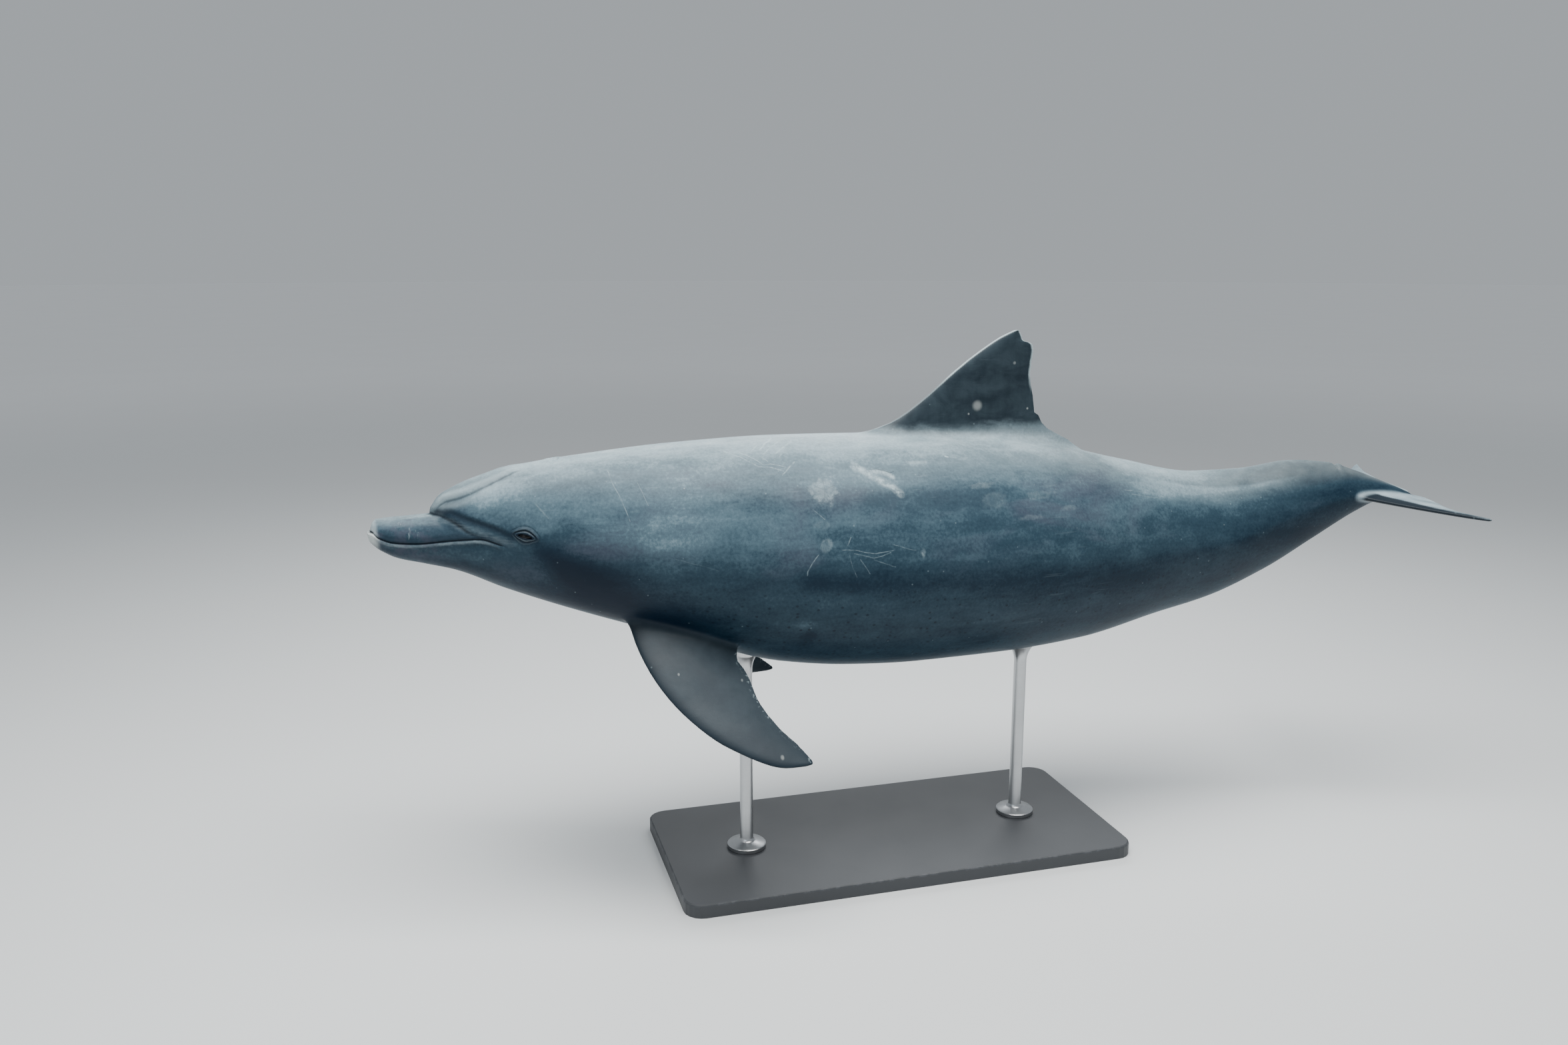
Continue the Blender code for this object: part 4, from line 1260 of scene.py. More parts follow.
@dataclass(frozen=True)
class SkinFinish:
    """The skin's colours with painted light and shade, markings, scars and fine relief."""

    stops: tuple[tuple[float, Colour], ...] = (
        (0.0, (0.0, 0.007, 0.018)), (0.2, (0.004, 0.016, 0.03)), (0.4, (0.02, 0.043, 0.062)),
        (0.6, (0.068, 0.113, 0.142)), (0.8, (0.2, 0.28, 0.325)), (1.0, (0.415, 0.505, 0.545)))
    # Painted light: the pale warm grey laid over the top of the back.
    lit_back_tint: Colour = (0.33, 0.37, 0.37)
    mauve: Colour = (0.055, 0.056, 0.082)
    fin_dark: Colour = (0.005, 0.011, 0.0175)
    fin_grey: Colour = (0.024, 0.038, 0.048)
    flipper_dark: Colour = (0.012, 0.021, 0.029)
    flipper_grey: Colour = (0.031, 0.046, 0.057)
    fluke_grey: Colour = (0.12, 0.17, 0.205)
    fluke_pale: Colour = (0.34, 0.42, 0.46)
    lip_pale: Colour = (0.42, 0.51, 0.54)
    scar_pale: Colour = (0.35, 0.44, 0.47)
    speck_pale: Colour = (0.6, 0.64, 0.62)
    dark: Colour = (0.001, 0.006, 0.014)
    scratches: tuple[Scratch, ...] = (
        Scratch(((0.449, 0.14), (0.454, 0.121), (0.467, 0.09), (0.479, 0.053)), 0.00086, 0.2),
        Scratch(((0.309, 0.085), (0.32, 0.073), (0.329, 0.061)), 0.0012, 0.15),
        Scratch(((0.5, 0.12), (0.509, 0.098), (0.515, 0.08)), 0.00065, 0.18),
        Scratch(((0.681, 0.167), (0.709, 0.157), (0.74, 0.14), (0.756, 0.14), (0.787, 0.132)), 0.00072, 0.38),
        Scratch(((0.71, 0.164), (0.734, 0.154), (0.751, 0.143), (0.764, 0.144),
                 (0.793, 0.138)), 0.00065, 0.34),
        Scratch(((0.748, 0.158), (0.76, 0.149)), 0.00072, 0.34),
        Scratch(((0.753, 0.167), (0.768, 0.175), (0.79, 0.182)), 0.00072, 0.56),
        Scratch(((0.734, 0.165), (0.753, 0.174)), 0.00072, 0.38),
        Scratch(((0.756, 0.16), (0.776, 0.17), (0.798, 0.178)), 0.00065, 0.34),
        Scratch(((0.78, 0.16), (0.803, 0.169), (0.827, 0.178)), 0.00094, 0.4),
        Scratch(((0.788, 0.156), (0.806, 0.165)), 0.00065, 0.34),
        Scratch(((0.783, 0.125), (0.798, 0.136), (0.814, 0.146)), 0.00094, 0.32),
        Scratch(((0.934, 0.135), (0.958, 0.121), (0.968, 0.113), (0.999, 0.097),
                 (1.017, 0.082)), 0.0052, 0.62),
        Scratch(((0.967, 0.124), (0.982, 0.122), (0.997, 0.118), (1.009, 0.112)), 0.0036, 0.5),
        Scratch(((1.056, 0.134), (1.092, 0.134)), 0.0022, 0.26),
        Scratch(((1.141, 0.141), (1.147, 0.139)), 0.00115, 0.7),
        Scratch(((0.831, 0.063), (0.852, 0.044)), 0.00072, 0.18),
        Scratch(((0.834, -0.022), (0.822, -0.036), (0.812, -0.053), (0.811, -0.061)), 0.00094, 0.26),
        Scratch(((0.882, -0.015), (0.911, -0.017), (0.931, -0.023), (0.951, -0.026),
                 (0.987, -0.021)), 0.00072, 0.28),
        Scratch(((0.906, -0.023), (0.927, -0.029), (0.945, -0.034), (0.964, -0.031),
                 (0.98, -0.025)), 0.00072, 0.27),
        Scratch(((0.945, -0.037), (0.965, -0.045), (0.99, -0.054)), 0.00065, 0.22),
        Scratch(((0.893, -0.007), (0.901, 0.008)), 0.00094, 0.24),
        Scratch(((0.896, -0.026), (0.901, -0.048), (0.91, -0.07)), 0.00072, 0.18),
        Scratch(((0.918, -0.035), (0.926, -0.047), (0.936, -0.064)), 0.00072, 0.18),
        Scratch(((0.986, -0.01), (1.01, -0.018), (1.033, -0.025)), 0.00065, 0.16),
        Scratch(((1.046, -0.028), (1.05, -0.036)), 0.0022, 0.24),
        Scratch(((1.56, 0.05), (1.64, 0.036)), 0.00065, 0.16),
        Scratch(((1.575, 0.04), (1.66, 0.024)), 0.00065, 0.16),
        Scratch(((1.7, 0.06), (1.79, 0.03)), 0.00065, 0.16),
        Scratch(((0.56, -0.02), (0.64, -0.045)), 0.00065, 0.07))
    cracks: tuple[Scratch, ...] = (
        Scratch(((0.965, 0.127), (0.979, 0.127), (0.992, 0.124), (1.006, 0.119),
                 (1.014, 0.121)), 0.00072, 0.6),
        Scratch(((0.861, 0.116), (0.861, 0.096), (0.857, 0.078)), 0.00065, 0.34),
        Scratch(((0.841, 0.104), (0.861, 0.096), (0.882, 0.104)), 0.00065, 0.34),
        Scratch(((0.861, 0.096), (0.87, 0.078)), 0.00058, 0.3))
    rosettes: tuple[Rosette, ...] = (
        Rosette(0.86, 0.095, 0.026, 0.022, 0.4, 0.35), Rosette(0.851, -0.006, 0.012, 0.013, 0.24, 0.6),
        Rosette(0.938, 0.131, 0.013, 0.008, 0.5, 0.0), Rosette(1.105, 0.15, 0.04, 0.009, 0.26, 0.3),
        Rosette(1.221, 0.058, 0.03, 0.016, 0.09, 0.4), Rosette(1.2, 0.086, 0.026, 0.006, 0.14, 0.0),
        Rosette(0.845, 0.035, 0.018, 0.008, 0.07, 0.3), Rosette(1.33, 0.06, 0.034, 0.008, 0.11, 0.2),
        Rosette(1.3, 0.02, 0.026, 0.005, 0.11, 0.0), Rosette(1.395, 0.03, 0.022, 0.006, 0.11, 0.0),
        Rosette(1.05, -0.03, 0.005, 0.009, 0.18, 0.0))
    fin_spots: tuple[tuple[float, float, float, float], ...] = (
        (1.249, 0.232, 0.0105, 0.25), (1.335, 0.32, 0.0034, 0.18), (1.229, 0.215, 0.0022, 0.26),
        (1.371, 0.221, 0.0024, 0.3), (0.735, -0.391, 0.0036, 0.2), (0.56, -0.247, 0.0022, 0.22),
        (0.687, -0.272, 0.0022, 0.2))

    def material(self) -> Material:
        """Return the skin's material."""
        sh = Shader("skin")
        x, y, z = sh.axes()
        station, level = x + BALANCE_STATION, z - REFERENCE_HEIGHT
        left = y.rise(0.02, -0.02)
        fins = {name: sh.kept(name) for name in ("dorsal", "flipper", "fluke")}
        on_fin = fins["dorsal"].most(fins["flipper"]).most(fins["fluke"]).rise(0.0, 0.6)
        clouds = sh.noise(5.5, 4.0, 0.58, sh.stretched((0.55, 1.0, 1.3)), 0.6)
        mottle = sh.noise(24.0, 5.0, 0.62, sh.stretched((0.6, 1.0, 1.1)), 0.4)
        streaks = sh.noise(20.0, 4.0, 0.62, sh.stretched((0.16, 1.0, 1.5)), 0.5)
        grain = sh.noise(170.0, 3.0, 0.6)
        tone = (sh.kept("tone") + (clouds - 0.5) * 0.36 + (mottle - 0.5) * 0.3 + (streaks - 0.5) * 0.22
                + (grain - 0.5) * 0.26 + 0.015)
        lined = sh.noise(75.0, 3.0, 0.55, sh.stretched((0.2, 1.0, 3.0)), 0.5).rise(0.42, 0.62)
        tone = tone - lined * station.band(0.42, 0.11) * level.band(0.045, 0.075) * 0.04
        # Painted light from above: a pale warm tint, mottled, over the top of the back.
        lit_back_share = sh.kept("round_turn").rise(0.26, 0.04) * (mottle + 0.2) * 0.36
        mauve = self._mauve(sh, station, level, clouds) * tone.band(0.42, 0.22) * (1 - on_fin)
        colour = sh.layered(sh.ramp(tone, self.stops), (lit_back_share, self.lit_back_tint), (mauve, self.mauve))
        colour = self._head(sh, colour, station)
        colour = self._fin_colours(sh, colour, fins, y, z, mottle)
        colour = self._speckles(sh, colour, level, on_fin)
        scars, cracks = self._scars(sh, station, level, left, on_fin)
        spots = self._fin_spots(station, level) * y.rise(0.001, -0.004)
        colour = sh.layered(colour, (scars, self.scar_pale), (cracks, self.dark), (spots, self.speck_pale))
        colour = self._eye_skin(sh, colour)
        height = (sh.noise(420.0, 2.0, 0.6) * 0.00006 + mottle * 0.001 + (scars - cracks) * 0.0006
                  + (grain - 0.5) * 0.0003)
        return sh.finish({"IOR": 1.4, "Specular IOR Level": 0.22, "Coat Roughness": 0.24},
                         {"Base Color": colour, "Roughness": 0.42 + mottle * 0.16 + scars * 0.1,
                          "Coat Weight": (clouds - 0.3) * 0.2}, ((height, 0.55),))

    def _mauve(self, sh: Shader, station: Field, level: Field, clouds: Field) -> Field:
        """Return the share of mauve on the upper jaw, the melon's side and the flank."""
        snout = station.rise(0.16, 0.1) * sh.noise(38.0, 3.0, 0.6).rise(0.42, 0.62) * 0.55
        return snout.most(clouds.rise(0.5, 0.68) * level.rise(-0.14, 0.0) * 0.4)

    def _head(self, sh: Shader, colour: Socket, station: Field) -> Socket:
        """Draw the head's lines, lips and stripes over a colour, with painted shade in the mouth line, the
        groove and the crease, and painted highlights on the melon's roll and partly on the lower lip.
        """
        mouth, groove, bridle, crease = (sh.kept(name) for name in SkinMesh.LINES)
        wobble = (sh.noise(90.0, 3.0, 0.6) - 0.5) * 0.006
        wear_and_sheen = sh.noise(28.0, 4.0, 0.65).rise(0.3, 0.7)
        streaks = sh.noise(85.0, 3.0, 0.6, sh.stretched((0.35, 1.0, 3.2), 24)).rise(0.35, 0.7)
        scratchy = sh.noise(46.0, 4.0, 0.7, sh.stretched((2.4, 1.0, 0.7), 35)).rise(0.6, 0.7)
        jaw, edge = station.rise(0.255, 0.235), mouth + wobble
        by_groove, by_crease, by_bridle = (station.stretch(*ends) for ends in (
            (0.12, 0.136, 0.262, 0.3), (0.104, 0.114, 0.165, 0.228), (0.112, 0.13, 0.25, 0.28)))
        loose = groove + wobble * 0.5
        return sh.layered(
            colour,
            # The lower lip's pale rim: partly the lip's own paleness, partly a painted highlight on its roll.
            (edge.band(-0.005, 0.0046) * station.rise(0.25, 0.19) * (0.1 + wear_and_sheen * 0.24), self.lip_pale),
            (station.rise(0.025, 0.008) * edge.band(-0.01, 0.024) * 0.85, self.speck_pale),
            (station.rise(0.022, 0.01) * edge.band(0.014, 0.02) * 0.65, self.lip_pale),
            # Above the mouth, a dark band: partly the upper jaw's darker band, partly painted shadow under
            # the upper lip. Below it, a faint dark band: painted shade in the hollow under the lower lip. The
            # dark mouth line: painted shade in its groove.
            (mouth.band(0.006, 0.01) * jaw * station.rise(0.012, 0.035) * 0.55, self.dark),
            (mouth.band(-0.016, 0.012) * jaw * station.rise(0.03, 0.08) * 0.16, self.dark),
            (mouth.band(0.0, 0.0021) * jaw * 0.94, self.dark),
            # Painted shade: the dark line along the melon's groove; painted highlight: the pale band above it
            # on the roll.
            ((groove + wobble * 0.12).band(0.0, 0.0046) * by_groove * 0.58, self.dark),
            (loose.band(0.012, 0.014) * by_groove * 0.26, self.lip_pale),
            (loose.band(-0.013, 0.013) * by_groove * 0.12, self.lip_pale),
            # Painted shade: the dark line along the crease between beak and melon.
            ((crease + wobble * 0.15).band(0.0, 0.005) * by_crease * 0.8, self.dark),
            ((bridle + wobble * 0.6).band(-0.001, 0.011) * by_bridle * 0.74, self.dark),
            ((bridle + wobble).band(-0.017, 0.012) * by_bridle * (streaks + 0.3) * 0.1, self.lip_pale),
            (scratchy * station.rise(0.11, 0.07) * mouth.rise(0.006, 0.014) * 0.22, self.lip_pale))

    def _eye_skin(self, sh: Shader, colour: Socket) -> Socket:
        """Darken round the eye; paint the lids' edges and the pocket inside them near black as painted shade
        in the pocket, the folds dark as painted shade in their grooves, and faint pale crescents between them
        as painted highlight on the ridges, partly a paler lower lid.
        """
        ring, rise = sh.kept("eye_ring"), sh.kept("eye_rise")
        above, below = rise.rise(-0.15, 0.35), rise.rise(0.15, -0.35)
        uneven = ring + (sh.noise(120.0, 3.0, 0.5) - 0.5) * 0.6
        crescents, fold_shade = (
            strongest(uneven.band(middle, width) * part * share for middle, width, part, share in bands)
            for bands in (((1.66, 0.34, below, 0.18), (1.66, 0.3, above, 0.03), (2.85, 0.5, above, 0.05),
                           (2.9, 0.45, below, 0.05)),
                          ((2.12, 0.3, above, 0.8), (2.25, 0.3, below, 0.4), (3.75, 0.28, above, 0.22))))
        # Painted shade: near black in the lids' pocket and dark in the folds' grooves. Painted highlight: the
        # faint pale crescents on the ridges, partly a paler lower lid.
        return sh.layered(colour, (uneven.rise(4.4, 2.2) * 0.66, self.dark), (crescents, self.lip_pale),
                          (fold_shade, self.dark), (ring.rise(1.42, 1.06) * 0.97, self.dark))

    def _fin_colours(self, sh: Shader, colour: Socket, fins: dict[str, Field], y: Field, z: Field,
                     mottle: Field) -> Socket:
        """Lay the dorsal fin's, the flippers' and the flukes' colours over a colour, with the flukes' dark
        undersides as painted shade and their pale tops partly painted light.
        """
        front, rear, under = sh.kept("front_gap"), sh.kept("rear_gap"), sh.kept("under")
        dorsal, flipper, fluke = fins.values()
        uneven = (mottle - 0.5) * 0.05
        upright = sh.noise(30.0, 4.0, 0.6, sh.stretched((1.5, 1.0, 0.4), 25))
        blotched = sh.noise(15.0, 4.0, 0.62).rise(0.3, 0.72) * 0.6
        nicks = sh.noise(150.0, 2.0, 0.6).rise(0.55, 0.7) * rear.rise(0.012, 0.002)
        shade = mottle * 0.7 + upright * 0.3 - dorsal.rise(1.25, 1.0) * 0.12
        slate = sh.blend(shade.rise(0.25, 0.72), self.fin_dark, self.fin_grey)
        grey = sh.blend(blotched + mottle * 0.4, self.flipper_dark, self.flipper_grey)
        pale = sh.blend(blotched + mottle.rise(0.25, 0.75) * 0.5, self.fluke_grey, self.fluke_pale)
        wear_and_sheen = rear.least(front) + uneven * 0.1
        flipper_edge = (front + uneven * 0.4).rise(0.034, 0.004) * flipper.rise(0.5, 0.9)
        # Dark along the flukes' front edges, and over their whole undersides as painted shade.
        fluke_edge_and_underside = (front - (front + rear) * 0.22 + uneven * 0.25).rise(0.008, -0.006).most(under)
        return sh.layered(
            colour,
            ((z - REFERENCE_HEIGHT + uneven).rise(0.163, 0.203) * dorsal.rise(0.05, 0.75), slate),
            ((front + uneven * 0.06).rise(0.0052, 0.0012) * dorsal.rise(0.6, 1.0) * 0.34, self.scar_pale),
            (wear_and_sheen.rise(0.0065, 0.001) * dorsal.rise(1.3, 1.44) * 0.65, self.lip_pale),
            (flipper.rise(0.1, 0.95) * 0.9, grey),
            (flipper_edge.most(flipper.rise(1.1, 1.8) * 0.72) * 0.7, self.fin_dark),
            # The flukes' pale grey, seen on their tops, is partly painted light from above.
            (fluke.rise(0.1, 0.85) * 0.9, pale),
            (fluke.rise(0.5, 1.0) * fluke_edge_and_underside * (1 - y.rise(0.06, 0.12) * 0.7), self.fin_dark),
            (nicks * flipper.most(fluke).rise(0.6, 1.0) * 0.3, self.lip_pale))

    def _fin_spots(self, station: Field, level: Field) -> Field:
        """Return how strongly the few pale spots of the dorsal fin and of the flipper show."""
        spots = []
        for at, height, radius, paleness in self.fin_spots:
            square = (station - at) * (station - at) + (level - height) * (level - height)
            fade = square.rise(2.2 * radius ** 2, 0.0)
            spots.append(fade * fade * paleness)
        return strongest(spots)

    def _speckles(self, sh: Shader, colour: Socket, level: Field, on_fin: Field) -> Socket:
        """Scatter dark flecks on the belly and lower flanks, and fewer pale ones all over."""
        flecks, dots, specks = (
            away.rise(size, core) * chance.rise(few, many) for (away, chance), size, core, few, many in (
                (sh.cells(95.0, sh.stretched((0.8, 1.0, 1.0))), 0.34, 0.14, 0.55, 0.6),
                (sh.cells(60.0), 0.14, 0.04, 0.84, 0.9), (sh.cells(17.0), 0.034, 0.01, 0.84, 0.86)))
        return sh.layered(colour, (flecks * level.rise(-0.03, -0.16) * (1 - on_fin) * 0.7, self.dark),
                          (dots * 0.2, self.scar_pale), (specks * 0.26, self.speck_pale))

    def _scars(self, sh: Shader, station: Field, level: Field, left: Field,
               on_fin: Field) -> tuple[Field, Field]:
        """Return how much each place is paled by scratches and healed rings, and darkened by cracks."""
        shake = sh.node("ShaderNodeTexNoise", {}, {"Vector": sh.coordinates, "Scale": 48.0, "Detail": 4.0})
        small = sh.vector("MULTIPLY", sh.vector("SUBTRACT", shake.outputs["Color"], (0.5, 0.5, 0.5)),
                          (0.0035, 0.0, 0.0035))
        flat = sh.node("ShaderNodeCombineXYZ", {}, {0: station, 1: 0.0, 2: level}).outputs[0]
        spot = sh.vector("ADD", flat, small)
        broken = sh.noise(80.0, 4.0, 0.7).rise(0.34, 0.66)
        ragged = (sh.noise(60.0, 4.0, 0.65) - 0.5) * 1.9
        marks = [self._tracks(sh, spot, self.scratches) * (broken * 1.15 + 0.2)]
        for rosette in self.rosettes:
            off = sh.vector("SUBTRACT", spot, (rosette.station, 0.0, rosette.level))
            scaled = sh.vector("MULTIPLY", off, (1 / rosette.length, 0.0, 1 / rosette.height))
            away = sh.number("LENGTH", scaled) + ragged
            ring = away.rise(1.25, 0.6) * (1 - away.rise(0.85, 0.3) * rosette.hollow)
            marks.append(ring * rosette.paleness * (broken * 0.7 + 0.3))
        rakes = sh.noise(34.0, 2.0, 0.5, sh.stretched((0.25, 1.0, 5.0), -18)).rise(0.64, 0.72)
        place = sh.noise(3.2, 1.0, 0.5, sh.stretched((1, 1, 1), shift=(3.1, 0.7, 0.2))).rise(0.5, 0.66)
        crossed = sh.noise(52.0, 2.0, 0.5, sh.stretched((0.35, 1.0, 4.5), 42)).rise(0.66, 0.74)
        scars = strongest((strongest(marks) * left, rakes * place * 0.04,
                           crossed * level.rise(0.02, 0.09) * 0.06)) * (1 - on_fin * 0.7)
        return scars, self._tracks(sh, spot, self.cracks) * left * (broken * 0.5 + 0.5)

    def _tracks(self, sh: Shader, spot: Socket, tracks: Sequence[Scratch]) -> Field:
        """Return how strongly scratches show at a (station, 0, level) spot."""
        marks = []
        for scratch in tracks:
            gaps = [self._gap(sh, spot, start, end) for start, end in zip(scratch.track, scratch.track[1:])]
            away = functools.reduce(Field.least, gaps)
            marks.append(away.rise(scratch.width * 2.0, 0.0) * scratch.strength)
        return strongest(marks)

    def _gap(self, sh: Shader, spot: Socket, start: tuple[float, float],
             end: tuple[float, float]) -> Field:
        """Return the distance from a straight piece of a scratch."""
        run = (end[0] - start[0], 0.0, end[1] - start[1])
        length = run[0] ** 2 + run[2] ** 2
        away = sh.vector("SUBTRACT", spot, (start[0], 0.0, start[1]))
        share = sh.number("DOT_PRODUCT", away, tuple(value / length for value in run)).most(0.0).least(1.0)
        along = sh.node("ShaderNodeVectorMath", {"operation": "SCALE"}, {0: run, "Scale": share}).outputs[0]
        return sh.number("LENGTH", sh.vector("SUBTRACT", away, along))


@dataclass(frozen=True)
class EyeFinish:
    """A dark, wet eye with a brown iris and a low, wide pupil."""

    iris: Colour = (0.004, 0.003, 0.0025)
    rim: Colour = (0.004, 0.004, 0.005)
    pupil: Colour = (0.0015, 0.0015, 0.002)

    def material(self, name: str, centre: Array) -> Material:
        """Return the material of the eye that lies round a centre."""
        sh = Shader(name)
        off = sh.vector("SUBTRACT", sh.coordinates, tuple(float(value) for value in centre))
        wide, low = (sh.number("LENGTH", sh.vector("MULTIPLY", off, squeeze))
                     for squeeze in ((1.0, 0.0, 1.15), (0.72, 0.0, 1.6)))
        fibres = sh.noise(900.0, 3.0, 0.6, sh.stretched((1.0, 1.0, 0.5)))
        colour = sh.layered(sh.blend(fibres, self.iris, self.pupil),
                            ((wide + (fibres - 0.5) * 0.001).rise(0.007, 0.0088), self.rim),
                            (low.rise(0.0042, 0.0034), self.pupil))
        return sh.finish({"IOR": 1.38, "Specular IOR Level": 0.0, "Coat Weight": 1.0, "Coat IOR": 1.31,
                          "Coat Roughness": 0.02},
                         {"Base Color": colour, "Roughness": fibres * 0.05 + 0.05},
                         ((fibres * 0.00002, 0.3),))


@dataclass
class Eyes:
    """The two eyeballs, which look out between the lids."""

    form: BodyForm = field(default_factory=BodyForm)
    place: EyePlace = field(default_factory=EyePlace)

    def build(self, finish: EyeFinish) -> list[Object]:
        """Build both eyeballs.

        Args:
            finish: what they are dressed with.

        Returns:
            The left and the right eyeball.
        """
        return [self._ball(side, finish) for side in Side]

    def _ball(self, side: Side, finish: EyeFinish) -> Object:
        """Build one eyeball: a long low lens with a fuller cornea."""
        centre, back, _, _ = self.place.frame(self.form, side)
        length, depth, height = self.place.ball
        yaw = math.atan2(back[1], back[0])
        maker = bmesh.new()
        bmesh.ops.create_uvsphere(maker, u_segments=56, v_segments=36, radius=1.0)
        bmesh.ops.rotate(maker, verts=maker.verts, matrix=Matrix.Rotation(math.radians(90), 3, "X"))
        for vert in maker.verts:
            bulge = 0.1 * math.exp(-(math.hypot(vert.co.x * 1.8, vert.co.z) / 0.62) ** 4)
            vert.co.y *= 1 + bulge
        bmesh.ops.scale(maker, verts=maker.verts, vec=(length, depth, height))
        bmesh.ops.rotate(maker, verts=maker.verts, matrix=Matrix.Rotation(yaw, 3, "Z"))
        middle = centre - np.array((0.0, side.value * self.place.sunk, 0.0))
        bmesh.ops.translate(maker, verts=maker.verts, vec=Vector(middle))
        smooth_outside(maker)
        name = "eyeball_" + side.name.lower()
        return made_object(maker, name, finish.material(name, middle))


@dataclass(frozen=True)
class PowderCoat:
    """Dark powder coat with a fine orange peel, a little dust and paler, rubbed edges."""

    base: Colour = (0.03, 0.033, 0.038)
    rubbed: Colour = (0.085, 0.09, 0.098)

    def material(self, half: tuple[float, float], top: float) -> Material:
        """Return the material of a plate with these half sizes and this top level."""
        sh = Shader("stand_powder_coat")
        x, y, z = sh.axes()
        edge = (half[0] - x.size()).least(half[1] - y.size())
        peel = sh.noise(900.0, 2.0, 0.5)
        dust = sh.noise(9.0, 5.0, 0.6)
        rub = edge.rise(0.006, 0.0) * z.rise(top - 0.006, top) * sh.noise(60.0, 4.0, 0.7).rise(0.45, 0.65)
        colour = sh.blend(dust * 0.35, self.base, (0.052, 0.056, 0.062))
        colour = sh.blend(rub * 0.8, colour, self.rubbed)
        return sh.finish({"IOR": 1.5, "Specular IOR Level": 0.5},
                         {"Base Color": colour, "Roughness": 0.42 + dust * 0.14 - rub * 0.1},
                         ((peel * 0.00012, 0.6),))


@dataclass(frozen=True)
class BrushedSteel:
    """Stainless steel brushed round its rods."""

    pale: Colour = (0.6, 0.61, 0.62)
    dull: Colour = (0.44, 0.45, 0.46)

    def material(self) -> Material:
        """Return the steel's material."""
        sh = Shader("stand_brushed_steel")
        brush = sh.noise(60.0, 4.0, 0.7, sh.stretched((0.6, 0.6, 30.0)))
        smears = sh.noise(14.0, 3.0, 0.6)
        colour = sh.blend(brush * 0.6 + smears * 0.4, self.pale, self.dull)
        return sh.finish({"Metallic": 1.0, "Anisotropic": 0.3},
                         {"Base Color": colour, "Roughness": 0.22 + brush * 0.16 + smears * 0.08},
                         ((brush * 0.00004, 0.5),))


@dataclass
class Stand:
    """The display stand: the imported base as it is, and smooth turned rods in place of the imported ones."""

    coat: PowderCoat = field(default_factory=PowderCoat)
    steel: BrushedSteel = field(default_factory=BrushedSteel)
    base: str = "stand_base"
    rods: tuple[str, str] = ("stand_rod_front", "stand_rod_rear")
    radius: float = 0.014
    cup: float = 0.026
    sharp: float = math.radians(38)

    def dress(self, nodes: dict[str, Object], form: BodyForm) -> None:
        """Give the base its material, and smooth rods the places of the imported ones.

        Args:
            nodes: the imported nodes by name.
            form: the body that the rods hold up.
        """
        low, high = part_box(self.base)
        coat = self.coat.material(((high.x - low.x) / 2, (high.y - low.y) / 2), high.z)
        for held in nodes[self.base].material_slots:
            held.material = coat
        LOG.info("%s dressed with %s", self.base, coat.name)
        steel = self.steel.material()
        for name in self.rods:
            rod = self._rod(name, form, steel)
            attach(rod, "root")
            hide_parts(name)
            LOG.info("%s built and dressed", rod.name)

    def _rod(self, node: str, form: BodyForm, steel: Material) -> Object:
        """Turn one rod with its flange and its cup, which ends just inside the skin."""
        low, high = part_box(node)
        middle = 0.5 * (low + high)
        belly = float(form.point(np.array(middle.x + BALANCE_STATION), np.array(math.pi), 1.0)[2])
        flange, foot = 0.5 * (high.x - low.x), low.z
        flare = [(self.radius + (self.cup - self.radius) * t * t, belly - 0.04 + 0.036 * t)
                 for t in np.linspace(0.0, 1.0, 9)]
        profile = [(0.0, high.z), (self.cup - 0.001, high.z), *reversed(flare), (self.radius, foot + 0.022),
                   (self.radius + 0.0015, foot + 0.0175), (self.radius + 0.006, foot + 0.014),
                   (flange - 0.002, foot + 0.01), (flange, foot + 0.008), (flange, foot + 0.0006),
                   (0.0, foot)]
        maker = bmesh.new()
        points = [maker.verts.new((radius, 0.0, height)) for radius, height in profile]
        line = [maker.edges.new(pair) for pair in zip(points, points[1:])]
        bmesh.ops.spin(maker, geom=points + line, cent=(0, 0, 0), axis=(0, 0, 1), angle=2 * math.pi, steps=64,
                       use_merge=True)
        bmesh.ops.remove_doubles(maker, verts=maker.verts, dist=1e-5)
        bmesh.ops.translate(maker, verts=maker.verts, vec=(middle.x, middle.y, 0.0))
        smooth_outside(maker)
        for edge in maker.edges:
            edge.smooth = edge.calc_face_angle(0.0) < self.sharp
        return made_object(maker, node + "_turned", steel)


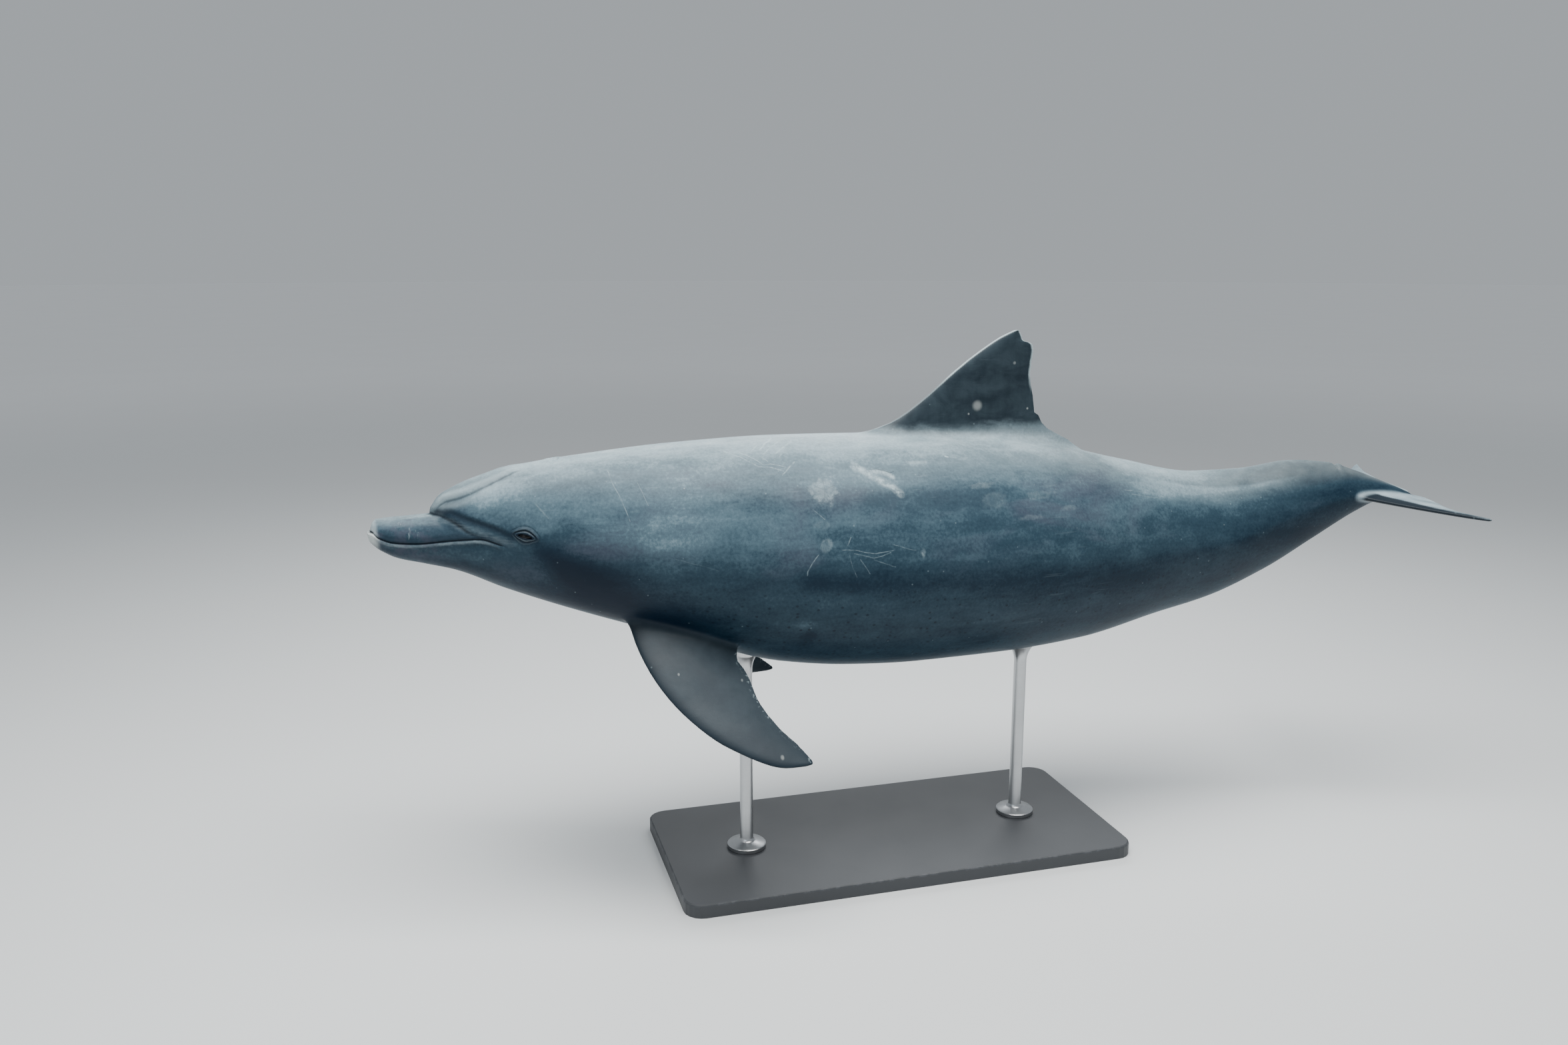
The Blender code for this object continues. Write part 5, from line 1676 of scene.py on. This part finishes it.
@dataclass
class Studio:
    """A plain pale floor, soft light from above and the camera."""

    focal_length: float = 29.0816
    sensor: float = 36.0
    azimuth: float = -16.0
    elevation: float = 12.0
    distance: float = 2.64
    target: Triple = (0.8246 - BALANCE_STATION, 0.0, REFERENCE_HEIGHT)
    floor_colour: Colour = (0.6, 0.62, 0.63)
    floor_shade: Colour = (0.57, 0.59, 0.6)
    sky: Colour = (0.4, 0.43, 0.455)
    sky_fade: tuple[float, float] = (2.5, 13.0)

    def build(self) -> None:
        """Make the floor, the lights, the world and the camera."""
        self._floor()
        self._camera()
        self._light("key", (-0.3, -0.7, 3.6), (0.0, 0.1, 0.6), (3.6, 2.0), 300.0, (1.0, 0.99, 0.96))
        self._light("front_fill", (-2.6, -2.6, 2.0), (-0.4, 0.0, 0.7), (2.0, 2.0), 22.0, (0.86, 0.93, 1.0))
        self._light("back_rim", (1.2, 2.6, 2.6), (0.2, 0.0, 0.9), (2.4, 1.2), 50.0, (0.95, 0.98, 1.0))
        world = bpy.data.worlds.new("studio")
        world.use_nodes = True
        background = world.node_tree.nodes["Background"]
        background.inputs["Color"].default_value = (*self.sky, 1.0)
        background.inputs["Strength"].default_value = 1.0
        bpy.context.scene.world = world

    def _floor(self) -> None:
        """Make the floor, which glows more with distance: painted light that fades it into the sky at the
        horizon.
        """
        maker = bmesh.new()
        bmesh.ops.create_circle(maker, cap_ends=True, segments=96, radius=60.0)
        sh = Shader("floor")
        soft = sh.noise(1.3, 3.0, 0.5)
        colour = sh.blend(soft * 0.3, self.floor_colour, self.floor_shade)
        # Painted light: the far floor glows with the light it lacks against the sky.
        missing = tuple(0.97 * light * (1 - grey) for light, grey in zip(self.sky, self.floor_colour))
        glow = sh.blend(sh.number("LENGTH", sh.coordinates).rise(*self.sky_fade), (0.0, 0.0, 0.0), missing)
        made_object(maker, "floor", sh.finish(
            {"Specular IOR Level": 0.2, "Emission Strength": 1.0},
            {"Base Color": colour, "Roughness": 0.55 + soft * 0.2, "Emission Color": glow}))

    def _light(self, name: str, place: Triple, aim: Triple, size: tuple[float, float], power: float,
               colour: Colour) -> None:
        """Make a soft rectangular light that faces its aim."""
        lamp = bpy.data.lights.new(name, "AREA")
        lamp.shape = "RECTANGLE"
        lamp.size, lamp.size_y = size
        lamp.energy = power
        lamp.color = colour
        light = bpy.data.objects.new(name, lamp)
        light.location = place
        light.rotation_euler = (Vector(aim) - Vector(place)).to_track_quat("-Z", "Y").to_euler()
        bpy.context.scene.collection.objects.link(light)

    def _camera(self) -> None:
        """Make the camera and let the scene use it."""
        lens = bpy.data.cameras.new("camera")
        lens.sensor_width = self.sensor
        lens.lens = self.focal_length
        lens.clip_end = 200.0
        azimuth, elevation = math.radians(self.azimuth), math.radians(self.elevation)
        back = Vector((math.sin(azimuth) * math.cos(elevation), -math.cos(azimuth) * math.cos(elevation),
                       math.sin(elevation)))
        camera = bpy.data.objects.new("camera", lens)
        camera.location = Vector(self.target) + back * self.distance
        camera.rotation_euler = (-back).to_track_quat("-Z", "Y").to_euler()
        bpy.context.scene.collection.objects.link(camera)
        bpy.context.scene.camera = camera


def main() -> None:
    """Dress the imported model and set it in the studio."""
    logging.basicConfig(level=logging.INFO, format="%(name)s: %(message)s")
    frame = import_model()
    flesh = [name for name in frame["nodes"] if not name.startswith(("stand_", "eye_"))]
    skin = DolphinSkin().build(SkinFinish())
    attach(skin, "root")
    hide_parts(*flesh)
    LOG.info("%s: %d faces, stands for %s", skin.name, len(skin.data.polygons), ", ".join(flesh))
    for ball in Eyes().build(EyeFinish()):
        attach(ball, "root")
        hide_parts(ball.name.replace("eyeball", "eye"))
        LOG.info("%s: %d faces", ball.name, len(ball.data.polygons))
    Stand().dress(frame["nodes"], BodyForm())
    Studio().build()
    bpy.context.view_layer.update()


if __name__ == "__main__":
    main()
